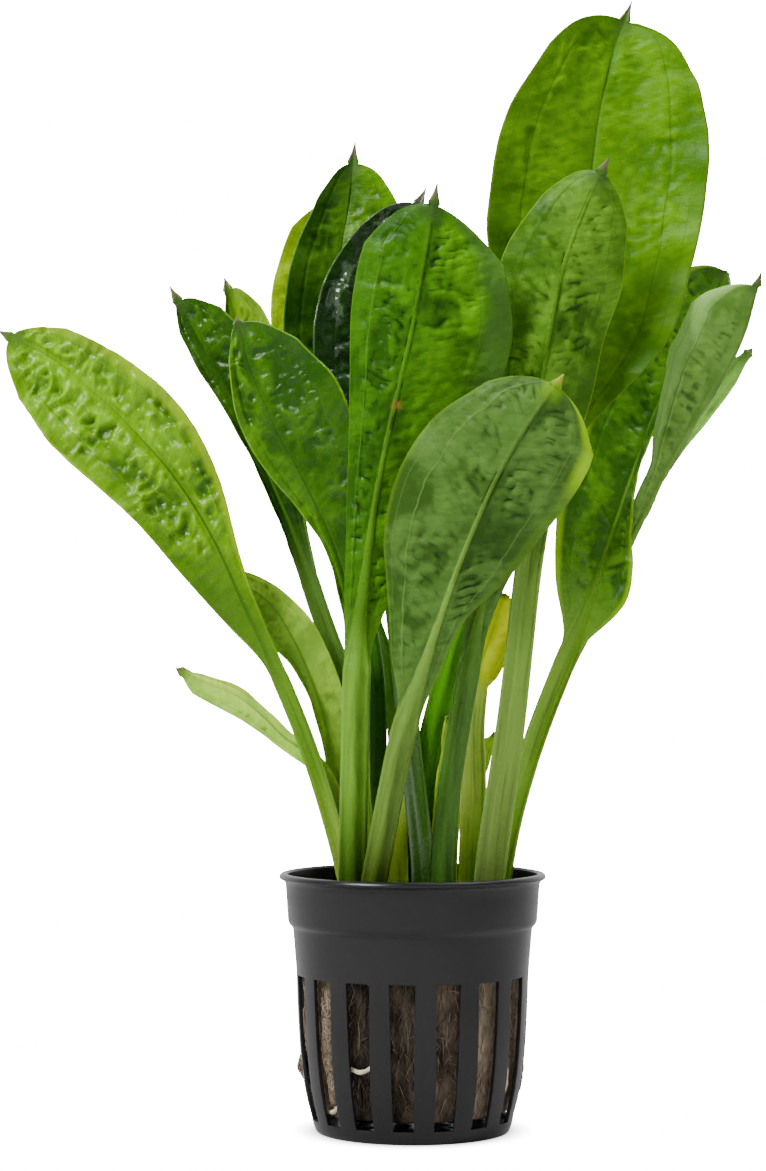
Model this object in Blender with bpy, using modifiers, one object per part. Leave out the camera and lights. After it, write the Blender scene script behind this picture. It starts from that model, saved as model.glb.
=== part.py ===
"""A potted echinodorus: a slotted plastic net pot, its wool plug with a few roots, and the leaves.

Metres, +Z up. The origin is the centre of the pot's underside. The plant's best side faces -Y.
"""

import math
from dataclasses import dataclass

import bmesh
import bpy
from mathutils import Matrix, Vector, noise

MM = 0.001

# The pot, in millimetres
POT_HEIGHT = 50.0
POT_LIP_RADIUS = 26.0
POT_FOOT_RADIUS = 18.6
POT_WALL = 0.7
POT_FLOOR = 0.9
LEDGE_HEIGHT = 40.0
SLOT_COUNT = 16
SLOT_FIRST_ANGLE = -5.0
SLOT_BOTTOM = 2.6
SLOT_TOP = 30.5
SLOT_WIDTH_TOP = 5.0
SLOT_WIDTH_BOTTOM = 3.9
SLOT_CUT_RADIUS = 22.0
SLOT_CUT_DEPTH = 12.0
POT_SIDES = 48
FLOOR_SLOTS = 8
FLOOR_SLOT_LENGTH = 7.0
FLOOR_SLOT_WIDTH = 2.2
FLOOR_SLOT_CENTRE = 11.0
FLOOR_CUT_HEIGHT = 6.0

# The wool plug and its roots, in millimetres
PLUG_BOTTOM = 4.0
PLUG_TOP = 38.0
PLUG_GAP = 1.7
PLUG_SIDES = 24
PLUG_RINGS = 6
PLUG_LUMP = 0.45
PLUG_LUMPS_ROUND = 2.2
PLUG_LUMPS_UP = 0.05
ROOT_RADIUS = 0.45
ROOT_TO_WALL = 0.35
ROOT_POINTS = 6

# How a leaf is cut into faces, and where along its blade the half widths are given
FACES_ACROSS = 4
FACES_ALONG_LARGE = 17
FACES_ALONG_SMALL = 11
STALK_FACES = 5
STATION_STEP = 0.15
PATH_POINTS = 120
CLOSER_TO_TIP = 1.6
DROP_AFTER_LAST_STATION = 0.75

# The leaf's body in millimetres, and the midrib's taper, depth and reach as shares of its half width
LAMINA = 0.7
TIP_HALF_WIDTH = 0.35
RIB_TAPER = 0.78
RIB_DEPTH = 1.55
RIB_THINNING = 0.4
RIB_REACH = 1.08
RIB_SHARE_OF_HALF = 0.62
FOOT_SWELL = 0.12
TOWARDS_FRONT = Vector((0, -1, 0))

PLASTIC = (0.035, 0.035, 0.04)
WOOL = (0.16, 0.11, 0.065)
ROOT = (0.72, 0.66, 0.48)
DARK = (0.05, 0.16, 0.02)
GREEN = (0.10, 0.27, 0.02)
LIME = (0.25, 0.42, 0.03)
PALE = (0.42, 0.52, 0.08)


@dataclass(frozen=True)
class Leaf:
    """One leaf with its stalk. Lengths are in millimetres and angles in degrees.

    spine: points of the midrib from the plug to the tip, chosen by hand
    stalk: half the stalk's width
    blade_from: the share of the length at which the blade starts
    left, right: the half widths at 15, 30, 45, 60, 75 and 90 % of the blade, seen from the front
    blunt: how each half, left then right, closes after that: small is blunt, 1 is straight to the tip
    fold: how far both halves rise from the midrib towards the upper side
    cup: how far the margins curl on from there
    roll: how far the right edge turns away from the front, at the blade's start and at the tip
    spike: the length of the narrow tip
    underside: whether the lower side faces the front
    """

    spine: tuple
    stalk: float
    blade_from: float
    left: tuple
    right: tuple
    blunt: tuple = (0.5, 0.5)
    fold: float = 8.0
    cup: float = 20.0
    roll: tuple = (0.0, 0.0)
    spike: float = 3.0
    underside: bool = False
    faces_along: int = FACES_ALONG_LARGE
    colour: tuple = GREEN


LEAVES = {
    "leaf_front": Leaf(
        spine=((-9, -13, 39), (-7, -14, 51), (-4.2, -16, 66), (-1.5, -19, 78.5), (2.4, -22, 91),
               (6.2, -25, 102.5), (11, -28, 115), (16, -31, 126), (21, -34, 134.5), (26, -36, 141.5)),
        stalk=2.3, blade_from=0.38, left=(6, 11, 16, 18, 16.5, 11.5), right=(2.2, 4.2, 9.5, 12.7, 14.8, 14),
        blunt=(0.5, 0.45), fold=6, cup=26, spike=2, underside=True, colour=GREEN),
    "leaf_centre": Leaf(
        spine=((-11.3, -8.5, 39), (-11.4, -9, 55), (-11, -9.5, 75), (-10.4, -10, 95), (-8.8, -11, 109.5),
               (-6.4, -12, 126), (-3, -13.5, 142), (0, -15, 155), (2.4, -16.5, 168), (4, -17.5, 177.5)),
        stalk=2.5, blade_from=0.36, left=(2.5, 4.5, 6.7, 9.7, 12.6, 12.5), right=(4.5, 9, 13.5, 18, 20, 16),
        blunt=(0.36, 0.6), fold=6, cup=22, underside=True, colour=GREEN),
    "leaf_right_centre": Leaf(
        spine=((1, 1.5, 39), (1.3, 1.5, 55), (2.5, 1, 70), (5.6, 0, 84), (9.4, -1, 97), (17, -3, 115),
               (22.3, -5, 132.5), (25.7, -7, 149), (29, -9, 167), (33.5, -11, 179.5), (36, -12, 184.5)),
        stalk=2.3, blade_from=0.47, left=(3, 6, 9, 11.5, 12.5, 9), right=(3.5, 8, 10.5, 11, 12.7, 10),
        blunt=(0.45, 0.45), fold=8, cup=24, spike=2.5, underside=True, colour=GREEN),
    "leaf_tall": Leaf(
        spine=((14, -5.5, 39), (15.2, -5.5, 52), (17.2, -5, 66), (19.2, -4, 80), (21, -2, 95), (22.8, 0, 110),
               (26, 2, 128), (30.2, 4, 148.5), (33.8, 6, 171), (36, 8, 191), (38.6, 9, 207.5), (42.2, 10, 218.3)),
        stalk=2.5, blade_from=0.5, left=(4, 11.7, 19.7, 20.6, 19.1, 13.2), right=(9, 19, 21.6, 23.2, 22.6, 18.3),
        blunt=(0.4, 0.3), spike=4.5, cup=18, colour=GREEN),
    "leaf_far_left": Leaf(
        spine=((-10.9, -1.5, 39), (-14.2, -1, 54), (-20, 1, 73), (-27, 3, 90), (-33.3, 5, 102.5),
               (-39.5, 7, 115.5), (-48, 9, 128.5), (-59, 12, 140.5), (-71, 14, 150.8), (-80.7, 15, 156.1)),
        stalk=1.6, blade_from=0.36, left=(4.3, 8.9, 11.3, 13.3, 13.9, 10.8), right=(1.6, 3.4, 7.5, 10.3, 9.7, 6.9),
        blunt=(0.5, 0.6), cup=16, colour=LIME),
    "leaf_low_left": Leaf(
        spine=((-12, 3, 39), (-13, 4, 56), (-15.2, 5, 64), (-18, 6, 70), (-21.7, 6.5, 73.5), (-25.3, 7, 76),
               (-29.4, 7, 80), (-34.5, 8, 84), (-40.5, 8.5, 86.5), (-45.7, 9, 89)),
        stalk=1.5, blade_from=0.4, left=(1, 1.8, 2.4, 3.3, 3.8, 3), right=(0.4, 0.8, 1.3, 1.6, 1.9, 1.4),
        blunt=(0.7, 0.7), fold=14, cup=10, spike=1.5, faces_along=FACES_ALONG_SMALL, colour=LIME),
    "leaf_bent_left": Leaf(
        spine=((-11.5, 7, 39), (-12.7, 7.5, 52), (-14.2, 8, 65), (-16.7, 9, 78), (-19.8, 10, 87),
               (-24, 12, 96), (-28.7, 14, 103), (-34, 15.5, 106.5), (-38, 16.5, 107)),
        stalk=1.9, blade_from=0.42, left=(0.6, 1.3, 2.4, 5, 6, 4), right=(4.2, 5, 5.3, 5, 3.6, 2.6),
        blunt=(0.55, 0.55), fold=10, cup=20, faces_along=FACES_ALONG_SMALL, colour=LIME),
    "leaf_left_back": Leaf(
        spine=((-9.5, 11, 39), (-10.7, 13, 60), (-13, 15, 84), (-18.5, 17, 100.5), (-25, 20, 119),
               (-34.5, 23, 140), (-41, 25, 152), (-48, 28, 164.6)),
        stalk=1.8, blade_from=0.52, left=(0.4, 0.9, 1.5, 2.3, 3.1, 3), right=(2, 5, 8, 9.5, 9.7, 7.5),
        blunt=(0.6, 0.5), fold=10, cup=20, spike=4, colour=DARK),
    "leaf_left_folded": Leaf(
        spine=((-4.5, 14, 39), (-8.6, 18, 60), (-12.7, 22, 80), (-15.1, 24, 90), (-18.7, 27, 101), (-24.9, 31, 121),
               (-30.7, 34, 142), (-35.9, 36, 160), (-38.3, 37, 167.9)),
        stalk=1.3, blade_from=0.5, left=(1.5, 3, 4.5, 5.5, 5, 2.5), right=(2, 5, 8, 10.8, 11.8, 9.3),
        blunt=(0.6, 0.4), fold=32, cup=15, roll=(-10, -14), colour=LIME),
    "leaf_left_front": Leaf(
        spine=((-7, -3.3, 39), (-8.7, -3, 51), (-10.3, -2.6, 66), (-10.6, -2.8, 85), (-11.2, -3, 98),
               (-13.4, -3, 108), (-17, -2.7, 118), (-22, -2, 128), (-27.5, -1, 138.5), (-31.5, 0, 148),
               (-34.1, 1, 157.2)),
        stalk=2.1, blade_from=0.42, left=(0.3, 0.8, 3.2, 5.8, 6.3, 3.8), right=(2.5, 7, 11.5, 14.5, 15, 11),
        blunt=(0.5, 0.5), cup=18, spike=1.5, colour=DARK),
    "leaf_upright_left": Leaf(
        spine=((-5.5, 1.5, 39), (-6.2, 1.5, 52), (-7.3, 1.6, 66), (-7.2, 2, 81), (-8.6, 3, 95), (-12.2, 5, 111),
               (-15.3, 8, 131), (-16.3, 11, 151), (-15.3, 13, 167), (-13.3, 15, 179), (-12, 16, 190.9)),
        stalk=2.0, blade_from=0.44, left=(3, 6.5, 9, 10, 9.6, 6.8), right=(3, 6.5, 9, 11, 12, 10.8),
        blunt=(0.5, 0.4), fold=10, cup=20, spike=4, colour=DARK),
    "leaf_pale_back": Leaf(
        spine=((-2.7, -5.9, 39), (-2.9, -4.3, 56), (-2.6, 2.6, 72), (-4.6, 9, 88), (-10.3, 14, 105.5), (-14.5, 20, 126),
               (-17.7, 24, 146), (-18.8, 26, 163), (-17.3, 27, 175.5), (-14.6, 28, 185)),
        stalk=1.8, blade_from=0.48, left=(2.5, 6, 8.7, 9.9, 10.3, 8.4), right=(2.5, 5.5, 8.5, 10, 9, 5),
        cup=18, colour=PALE),
    "leaf_dark_centre": Leaf(
        spine=((1.8, -7.5, 39), (2.1, -7.5, 50), (1, -7, 62), (-0.5, -6, 75), (-2.5, -3, 95), (-5, 0, 118),
               (-7, 3, 140), (-6.2, 5, 160.5), (-1.7, 5, 175), (1, 5, 181)),
        stalk=2.0, blade_from=0.45, left=(3, 7, 11, 13, 12.6, 9), right=(3, 6, 9, 11, 10.5, 7),
        blunt=(0.5, 0.5), cup=20, colour=DARK),
    "leaf_right_folded": Leaf(
        spine=((16.5, 9.5, 39), (18.3, 10.5, 52), (20.8, 12, 63), (25.7, 14.5, 78), (32, 17.5, 93.5), (39, 18.5, 106.5),
               (45.7, 16, 119), (51.8, 10.5, 131.5), (57.8, 5, 142.3), (63.5, 1, 152.7), (67, -2, 164)),
        stalk=1.6, blade_from=0.5, left=(0.5, 2.2, 4.5, 8.5, 11.5, 11.3), right=(1, 2, 2.5, 3, 2.5, 1.5),
        blunt=(0.45, 0.6), fold=40, cup=12, roll=(40, 40), underside=True, colour=GREEN),
    "leaf_right_small": Leaf(
        spine=((12.5, 14.5, 39), (15.5, 15, 49), (19.3, 16, 60), (26.3, 19, 79), (33.7, 22, 95), (40.2, 22, 108.5),
               (45.5, 19.5, 120.5), (50.6, 15.5, 130.5), (56, 12.5, 139.5), (61.8, 10.5, 146.5), (66.5, 9.5, 152)),
        stalk=1.3, blade_from=0.55, left=(0.8, 1.6, 2.4, 3.4, 4, 3), right=(0.4, 0.8, 1.2, 2, 3, 2.2),
        blunt=(0.7, 0.7), fold=20, cup=10, spike=1.5, underside=True,
        faces_along=FACES_ALONG_SMALL, colour=DARK),
    "leaf_right_back": Leaf(
        spine=((14.5, 1.5, 39), (17.5, 2, 52), (19.7, 3, 62), (24.2, 4.5, 76), (28.9, 6, 88), (33.4, 7, 99),
               (38.3, 10.5, 112.5), (43.7, 17.5, 127.7), (50, 26, 143.5), (58.5, 33, 160), (65, 36, 171.5)),
        stalk=2.0, blade_from=0.38, left=(8, 12.6, 13, 13.5, 13.8, 11), right=(6.8, 3.4, 0.2, 1.5, 5.6, 5),
        blunt=(0.45, 0.5), cup=18, spike=0.6, colour=GREEN),
    "leaf_young": Leaf(
        spine=((11, 6.5, 39), (11.6, 6.5, 52), (12, 6, 65), (12, 6, 78), (13.2, 6, 89), (16.1, 7, 98),
               (18.3, 8, 104)),
        stalk=2.1, blade_from=0.7, left=(1.4, 2.6, 3.4, 3.6, 3.2, 2.2), right=(3, 4.4, 5, 5, 4.4, 3),
        blunt=(0.4, 0.4), fold=20, cup=20, spike=0.5, faces_along=FACES_ALONG_SMALL, colour=PALE),
    "leaf_sprout": Leaf(
        spine=((7, 3.5, 39), (7.3, 6, 50), (8.2, 10.5, 60), (10.6, 13.5, 68), (13.3, 14, 73), (16.6, 13.5, 76)),
        stalk=1.3, blade_from=0.55, left=(1, 1.9, 2.4, 2.4, 2, 1.2), right=(1, 2.2, 3.2, 3.4, 2.8, 1.6),
        blunt=(0.7, 0.7), fold=10, cup=15, spike=1, faces_along=FACES_ALONG_SMALL, colour=LIME),
    "leaf_behind_front": Leaf(
        spine=((6.2, -9.5, 39), (5.8, -10, 52), (6.8, -10.5, 65), (9.1, -11, 80), (11.8, -12.5, 95),
               (15.1, -14, 110), (18.5, -16, 124), (21.5, -18, 136), (22.5, -19, 140)),
        stalk=2.0, blade_from=0.5, left=(2, 5, 7, 7.5, 7, 5), right=(1, 3, 5.5, 7, 7, 5),
        cup=22, spike=1, underside=True, faces_along=FACES_ALONG_SMALL, colour=GREEN),
    "leaf_bud": Leaf(
        spine=((3.8, -3, 39), (4.5, -3.5, 52), (5.5, -4, 66), (7.2, -4, 80)),
        stalk=1.2, blade_from=0.5, left=(0.3, 0.6, 0.8, 0.9, 0.8, 0.5), right=(0.3, 0.6, 0.8, 0.9, 0.8, 0.5),
        blunt=(0.9, 0.9), fold=30, cup=10, spike=1, faces_along=FACES_ALONG_SMALL, colour=LIME),
}

# Roots that show in the slots: the heading in degrees from the front, and the height, of each end
ROOTS = {
    "root_front": ((-37.0, 13.0), (-29.0, 12.2), (-20.0, 13.6)),
    "root_left": ((-60.0, 4.9), (-53.0, 5.2), (-47.0, 6.6)),
    "root_right": ((58.0, 16.0), (63.0, 12.5), (65.0, 8.6)),
}


def clear_scene():
    for obj in list(bpy.data.objects):
        bpy.data.objects.remove(obj)


def new_collection(name):
    made = bpy.data.collections.new(name)
    bpy.context.scene.collection.children.link(made)
    return made


def finish_of(name, colour, roughness):
    material = bpy.data.materials.new(name)
    material.use_nodes = True
    shader = material.node_tree.nodes["Principled BSDF"]
    shader.inputs["Base Color"].default_value = (*colour, 1)
    shader.inputs["Roughness"].default_value = roughness
    shader.inputs["Metallic"].default_value = 0
    material.diffuse_color = (*colour, 1)
    return material


def add_object(name, mesh, collection, material=None):
    obj = bpy.data.objects.new(name, mesh)
    collection.objects.link(obj)
    if material:
        mesh.materials.append(material)
    return obj


def heading(angle):
    """The level direction this many degrees round from the front, +X side first."""
    turn = math.radians(angle)
    return Vector((math.sin(turn), -math.cos(turn), 0))


def smooth_share(value, low, high):
    share = min(1.0, max(0.0, (value - low) / (high - low)))
    return share * share * (3 - 2 * share)


def pot_outer_profile():
    """(radius, height) down the outside, from the lip to the foot."""
    return [
        (24.9, POT_HEIGHT), (25.6, 49.8), (POT_LIP_RADIUS, 49.3), (25.8, 48.8), (25.1, 48.5), (24.7, 47.8),
        (24.3, LEDGE_HEIGHT + 0.9), (23.9, LEDGE_HEIGHT), (23.3, LEDGE_HEIGHT - 0.7),
        (22.65, 31.0), (22.3, 22.0), (21.9, 15.5), (21.1, 9.0), (19.7, 3.0), (19.1, 0.8), (POT_FOOT_RADIUS, 0.0),
    ]


def wall_radius(height):
    """The outside radius of the pot's wall at a height."""
    profile = [p for p in pot_outer_profile() if p[1] <= LEDGE_HEIGHT]
    for (r_high, z_high), (r_low, z_low) in zip(profile, profile[1:]):
        if z_low <= height <= z_high:
            return r_low + (r_high - r_low) * (height - z_low) / (z_high - z_low)
    return profile[0][0]


def pot_profile():
    """The closed half section: out along the inner floor, up the inside, over the lip, down the outside."""
    heights = (2.6, 9.0, 22.0, 31.0, LEDGE_HEIGHT - 1.3, LEDGE_HEIGHT + 0.2)
    inside = [(wall_radius(z) - POT_WALL, z) for z in heights]
    floor = [(0.0, POT_FLOOR), (POT_FOOT_RADIUS - 0.5, POT_FLOOR)]
    return [*floor, *inside, (24.1, 49.5), *pot_outer_profile(), (0.0, 0.0)]


def add_pot(collection, cutters):
    mesh = bpy.data.meshes.new("pot")
    points = [(r * MM, 0, z * MM) for r, z in pot_profile()]
    mesh.from_pydata(points, [(i, i + 1) for i in range(len(points) - 1)], [])
    pot = add_object("pot", mesh, collection, finish_of("pot_plastic", PLASTIC, 0.42))
    turn = pot.modifiers.new("turn", "SCREW")
    turn.steps = turn.render_steps = POT_SIDES
    turn.use_merge_vertices = True
    turn.merge_threshold = 0.00001
    for name, cutter in (("wall_slots", wall_slot_cutter()), ("floor_slots", floor_slot_cutter())):
        helper = add_object(name, cutter, cutters)
        helper.hide_render = True
        helper.display_type = "WIRE"
        cut = pot.modifiers.new(name, "BOOLEAN")
        cut.operation = "DIFFERENCE"
        cut.object = helper


def wall_slot_cutter():
    """Sixteen upright bars, narrower at the bottom, that cut the slots from the wall."""
    bm = bmesh.new()
    middle = (SLOT_TOP + SLOT_BOTTOM) / 2
    for k in range(SLOT_COUNT):
        angle = SLOT_FIRST_ANGLE + k * 360 / SLOT_COUNT
        bar = bmesh.ops.create_cube(bm, size=1)["verts"]
        for vert in bar:
            width = SLOT_WIDTH_TOP if vert.co.z > 0 else SLOT_WIDTH_BOTTOM
            vert.co = Vector((vert.co.x * width, vert.co.y * SLOT_CUT_DEPTH, vert.co.z * (SLOT_TOP - SLOT_BOTTOM)))
        place = Matrix.Translation(heading(angle) * SLOT_CUT_RADIUS + Vector((0, 0, middle)))
        bmesh.ops.transform(bm, matrix=place @ Matrix.Rotation(math.radians(angle), 4, "Z"), verts=bar)
    return mesh_from(bm, "wall_slots")


def floor_slot_cutter():
    """Radial bars that cut the drain holes from the floor."""
    bm = bmesh.new()
    for k in range(FLOOR_SLOTS):
        angle = (k + 0.5) * 360 / FLOOR_SLOTS
        bar = bmesh.ops.create_cube(bm, size=1)["verts"]
        size = (FLOOR_SLOT_WIDTH, FLOOR_SLOT_LENGTH, FLOOR_CUT_HEIGHT)
        bmesh.ops.scale(bm, vec=size, verts=bar)
        place = Matrix.Translation(heading(angle) * FLOOR_SLOT_CENTRE)
        bmesh.ops.transform(bm, matrix=place @ Matrix.Rotation(math.radians(angle), 4, "Z"), verts=bar)
    return mesh_from(bm, "floor_slots")


def mesh_from(bm, name, scale=MM):
    bmesh.ops.scale(bm, vec=(scale, scale, scale), verts=bm.verts)
    bmesh.ops.recalc_face_normals(bm, faces=bm.faces)
    mesh = bpy.data.meshes.new(name)
    bm.to_mesh(mesh)
    bm.free()
    return mesh


def plug_radius(angle, height):
    """The wool's radius in a direction and at a height: the pot's inside less a gap, with lumps."""
    inside = wall_radius(height) - POT_WALL - PLUG_GAP
    where = heading(angle) * PLUG_LUMPS_ROUND + Vector((0, 0, height * PLUG_LUMPS_UP))
    return inside - PLUG_LUMP * (1 + noise.noise(where))


def add_plug(collection):
    """The wool plug: an upright cylinder whose rings follow the pot's taper."""
    bm = bmesh.new()
    bmesh.ops.create_cone(bm, cap_ends=True, segments=PLUG_SIDES, radius1=1, radius2=1, depth=1)
    upright = [e for e in bm.edges if abs(e.verts[0].co.z - e.verts[1].co.z) > 0.5]
    bmesh.ops.subdivide_edges(bm, edges=upright, cuts=PLUG_RINGS)
    for vert in bm.verts:
        angle = math.degrees(math.atan2(vert.co.x, -vert.co.y))
        height = PLUG_BOTTOM + (vert.co.z + 0.5) * (PLUG_TOP - PLUG_BOTTOM)
        vert.co = heading(angle) * plug_radius(angle, height) + Vector((0, 0, height))
    add_object("wool_plug", mesh_from(bm, "wool_plug"), collection, finish_of("wool", WOOL, 0.95))


def add_root(name, stations, collection):
    """A root against the inside of the wall, as a bent tube."""
    curve = bpy.data.curves.new(name, "CURVE")
    curve.dimensions = "3D"
    curve.bevel_depth = ROOT_RADIUS * MM
    curve.bevel_resolution = 1
    curve.use_fill_caps = True
    points = []
    for angle, height in stations:
        radius = wall_radius(height) - POT_WALL - ROOT_TO_WALL - ROOT_RADIUS
        points.append((heading(angle) * radius + Vector((0, 0, height))) * MM)
    path = through(points, ROOT_POINTS)
    spline = curve.splines.new("POLY")
    spline.points.add(len(path) - 1)
    for point, place in zip(spline.points, path):
        point.co = (*place, 1)
    root = bpy.data.objects.new(name, curve)
    collection.objects.link(root)
    curve.materials.append(finish_of(name, ROOT, 0.6))


def through(points, count):
    """Evenly spaced places along the smooth curve through the points (Catmull-Rom)."""
    ends = [2 * points[0] - points[1], *points, 2 * points[-1] - points[-2]]
    fine = []
    for a, b, c, d in zip(ends, ends[1:], ends[2:], ends[3:]):
        for k in range(20):
            t = k / 20
            fine.append(0.5 * (2 * b + (c - a) * t + (2 * a - 5 * b + 4 * c - d) * t**2
                               + (3 * b - a - 3 * c + d) * t**3))
    fine.append(points[-1])
    lengths = [0.0]
    for a, b in zip(fine, fine[1:]):
        lengths.append(lengths[-1] + (b - a).length)
    return [at_length(fine, lengths, lengths[-1] * k / (count - 1)) for k in range(count)]


def at_length(path, lengths, wanted):
    for k in range(1, len(path)):
        if lengths[k] >= wanted:
            share = (wanted - lengths[k - 1]) / max(lengths[k] - lengths[k - 1], 1e-12)
            return path[k - 1].lerp(path[k], share)
    return path[-1].copy()


def half_width(widths, blunt, share):
    """A half's width along the blade: a smooth curve through the stations, then closing to the tip."""
    if not 0 < share < 1:
        return 0.0
    last = STATION_STEP * len(widths)
    if share > last:
        return widths[-1] * ((1 - share) / (1 - last)) ** blunt
    run = [0.0, 0.0, *widths, widths[-1] * DROP_AFTER_LAST_STATION]
    k = min(len(widths) - 1, int(share / STATION_STEP))
    t = share / STATION_STEP - k
    a, b, c, d = run[k:k + 4]
    return 0.5 * (2 * b + (c - a) * t + (2 * a - 5 * b + 4 * c - d) * t**2 + (3 * b - a - 3 * c + d) * t**3)


def leaf_rows(leaf):
    """Shares of the leaf's length, 0 at the plug and 1 at the blade's tip, closer together near the tip."""
    blade_rows = leaf.faces_along - STALK_FACES - 1
    rows = [leaf.blade_from * k / STALK_FACES for k in range(STALK_FACES)]
    for k in range(blade_rows + 1):
        share = 1 - (1 - k / blade_rows) ** CLOSER_TO_TIP
        rows.append(leaf.blade_from + (1 - leaf.blade_from) * share)
    return rows


def leaf_frame(path, k, leaf, share):
    """The midrib's direction, the direction to the blade's right edge, and the upper side's normal."""
    along = (path[min(k + 1, len(path) - 1)] - path[max(k - 1, 0)]).normalized()
    right = along.cross(TOWARDS_FRONT).normalized()
    front = right.cross(along).normalized()
    turned = leaf.roll[0] + (leaf.roll[1] - leaf.roll[0]) * share
    turned = math.radians(turned * smooth_share(share, -0.4, 0.2))
    edge = right * math.cos(turned) - front * math.sin(turned)
    normal = front * math.cos(turned) + right * math.sin(turned)
    return along, edge, -normal if leaf.underside else normal


def leaf_section(leaf, share):
    """At this share of the blade: half widths left and right, the midrib's half width and its thickness."""
    inside = max(0.0, share)
    rib = leaf.stalk * (1 - RIB_TAPER * smooth_share(inside, 0.0, 1.0))
    if share < 0:
        rib *= 1 + FOOT_SWELL * smooth_share(-share, 0.3, 0.9)
    thickness = max(LAMINA, RIB_DEPTH * rib * (1 - RIB_THINNING * smooth_share(inside, 0.0, 0.4)))
    halves = (half_width(leaf.left, leaf.blunt[0], share), half_width(leaf.right, leaf.blunt[1], share))
    narrow = rib if share < 1 else TIP_HALF_WIDTH
    return [math.hypot(narrow, half) for half in halves], rib, thickness


def leaf_point(leaf, path, at, column):
    """Where the grid's point goes, and how thick the leaf is there.

    at is the share of the leaf's length, and column counts out from the midrib, negative to the left.
    """
    k = round(at * (len(path) - 1))
    share = (at - leaf.blade_from) / (1 - leaf.blade_from)
    along, edge, upper = leaf_frame(path, k, leaf, share)
    halves, rib, thickness = leaf_section(leaf, share)
    half = halves[0 if column < 0 else 1]
    rib_edge = min(RIB_SHARE_OF_HALF * half, rib)
    steps = abs(column)
    distance = rib_edge * steps if steps <= 1 else \
        rib_edge + (half - rib_edge) * (steps - 1) / (FACES_ACROSS // 2 - 1)
    bulge = max(0.0, 1 - (distance / (RIB_REACH * rib)) ** 2) if share < 1 else 0.0
    place = path[k] + bent(leaf, share, distance, half, column < 0, edge, upper)
    return place, LAMINA + (thickness - LAMINA) * bulge


def spike_point(leaf, path, column):
    """The narrow tip's end: straight on from the midrib."""
    along, edge, _ = leaf_frame(path, len(path) - 1, leaf, 1.0)
    return path[-1] + along * leaf.spike + edge * (TIP_HALF_WIDTH * 0.5 * column)


def add_leaf(name, leaf, collection):
    """A grid bent along the leaf's spine, then thickened downwards, most along the midrib."""
    path = through([Vector(p) for p in leaf.spine], PATH_POINTS)
    rows = leaf_rows(leaf)
    bm = bmesh.new()
    bmesh.ops.create_grid(bm, x_segments=FACES_ACROSS, y_segments=leaf.faces_along, size=0.5)
    depth = []
    for vert in bm.verts:
        column = round((vert.co.x + 0.5) * FACES_ACROSS) - FACES_ACROSS // 2
        row = round((vert.co.y + 0.5) * leaf.faces_along)
        if row < len(rows):
            vert.co, thickness = leaf_point(leaf, path, rows[row], column)
        else:
            vert.co, thickness = spike_point(leaf, path, column), LAMINA
        depth.append(thickness)
    if leaf.underside:
        bmesh.ops.reverse_faces(bm, faces=bm.faces)
    thicken(name, leaf, bm, depth, collection)


def bent(leaf, share, distance, half, on_left, edge, upper):
    """The offset from the midrib: out along the folded half, then curling up towards the margin."""
    shown = smooth_share(share, 0.0, 0.25)
    rise = math.radians(leaf.fold * shown)
    curl = math.radians(leaf.cup * shown) * distance / max(half, 1e-6)
    level = distance * math.cos(rise + curl / 2)
    lift = distance * math.sin(rise + curl / 2)
    return edge * (-level if on_left else level) + upper * lift


def thicken(name, leaf, bm, depth, collection):
    """Give the leaf's sheet its thickness, point by point, away from the upper side."""
    thickest = max(depth)
    layer = bm.verts.layers.deform.new()
    for vert, amount in zip(bm.verts, depth):
        vert[layer][0] = amount / thickest
    bmesh.ops.scale(bm, vec=(MM, MM, MM), verts=bm.verts)
    mesh = bpy.data.meshes.new(name)
    bm.to_mesh(mesh)
    bm.free()
    mesh.shade_smooth()
    obj = add_object(name, mesh, collection, finish_of(name, leaf.colour, 0.35))
    obj.vertex_groups.new(name="thickness")
    body = obj.modifiers.new("thickness", "SOLIDIFY")
    body.thickness = thickest * MM
    body.offset = -1
    body.vertex_group = "thickness"


def main():
    clear_scene()
    plant = new_collection("potted_echinodorus")
    cutters = new_collection("cutters")
    add_pot(plant, cutters)
    add_plug(plant)
    for name, stations in ROOTS.items():
        add_root(name, stations, plant)
    for name, leaf in LEAVES.items():
        add_leaf(name, leaf, plant)


main()
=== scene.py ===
"""A potted echinodorus: quilted leaves on keeled stalks, a slotted net pot and its fibrous wool plug.

Everything is in the frame's metres, +Z up, and the plant's shown side faces -Y. The leaves repeat the
frame's spines and half widths in millimetres, with far more points, real thickness and relief.
"""

import logging
import math
from dataclasses import dataclass, field
from enum import Enum

import bpy
import numpy as np
from mathutils import Matrix, Vector


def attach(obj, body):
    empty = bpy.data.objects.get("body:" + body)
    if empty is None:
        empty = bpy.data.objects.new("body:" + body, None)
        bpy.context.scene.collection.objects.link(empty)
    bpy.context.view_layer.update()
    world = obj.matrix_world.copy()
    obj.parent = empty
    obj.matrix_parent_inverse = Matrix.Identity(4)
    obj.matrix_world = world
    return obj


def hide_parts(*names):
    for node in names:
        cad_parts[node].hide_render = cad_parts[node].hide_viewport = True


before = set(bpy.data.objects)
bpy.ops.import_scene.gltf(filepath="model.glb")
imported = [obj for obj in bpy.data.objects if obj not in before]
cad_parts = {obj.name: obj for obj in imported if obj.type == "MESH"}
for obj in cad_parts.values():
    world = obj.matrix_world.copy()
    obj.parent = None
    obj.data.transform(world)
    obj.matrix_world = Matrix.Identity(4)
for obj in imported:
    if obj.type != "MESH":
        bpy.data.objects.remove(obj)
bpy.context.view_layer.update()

log = logging.getLogger("plant")

MM = 0.001
Colour = tuple[float, float, float]
Point = tuple[float, float, float]
Ends = tuple[float, float]
Array = np.ndarray


# Shared helpers


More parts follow.
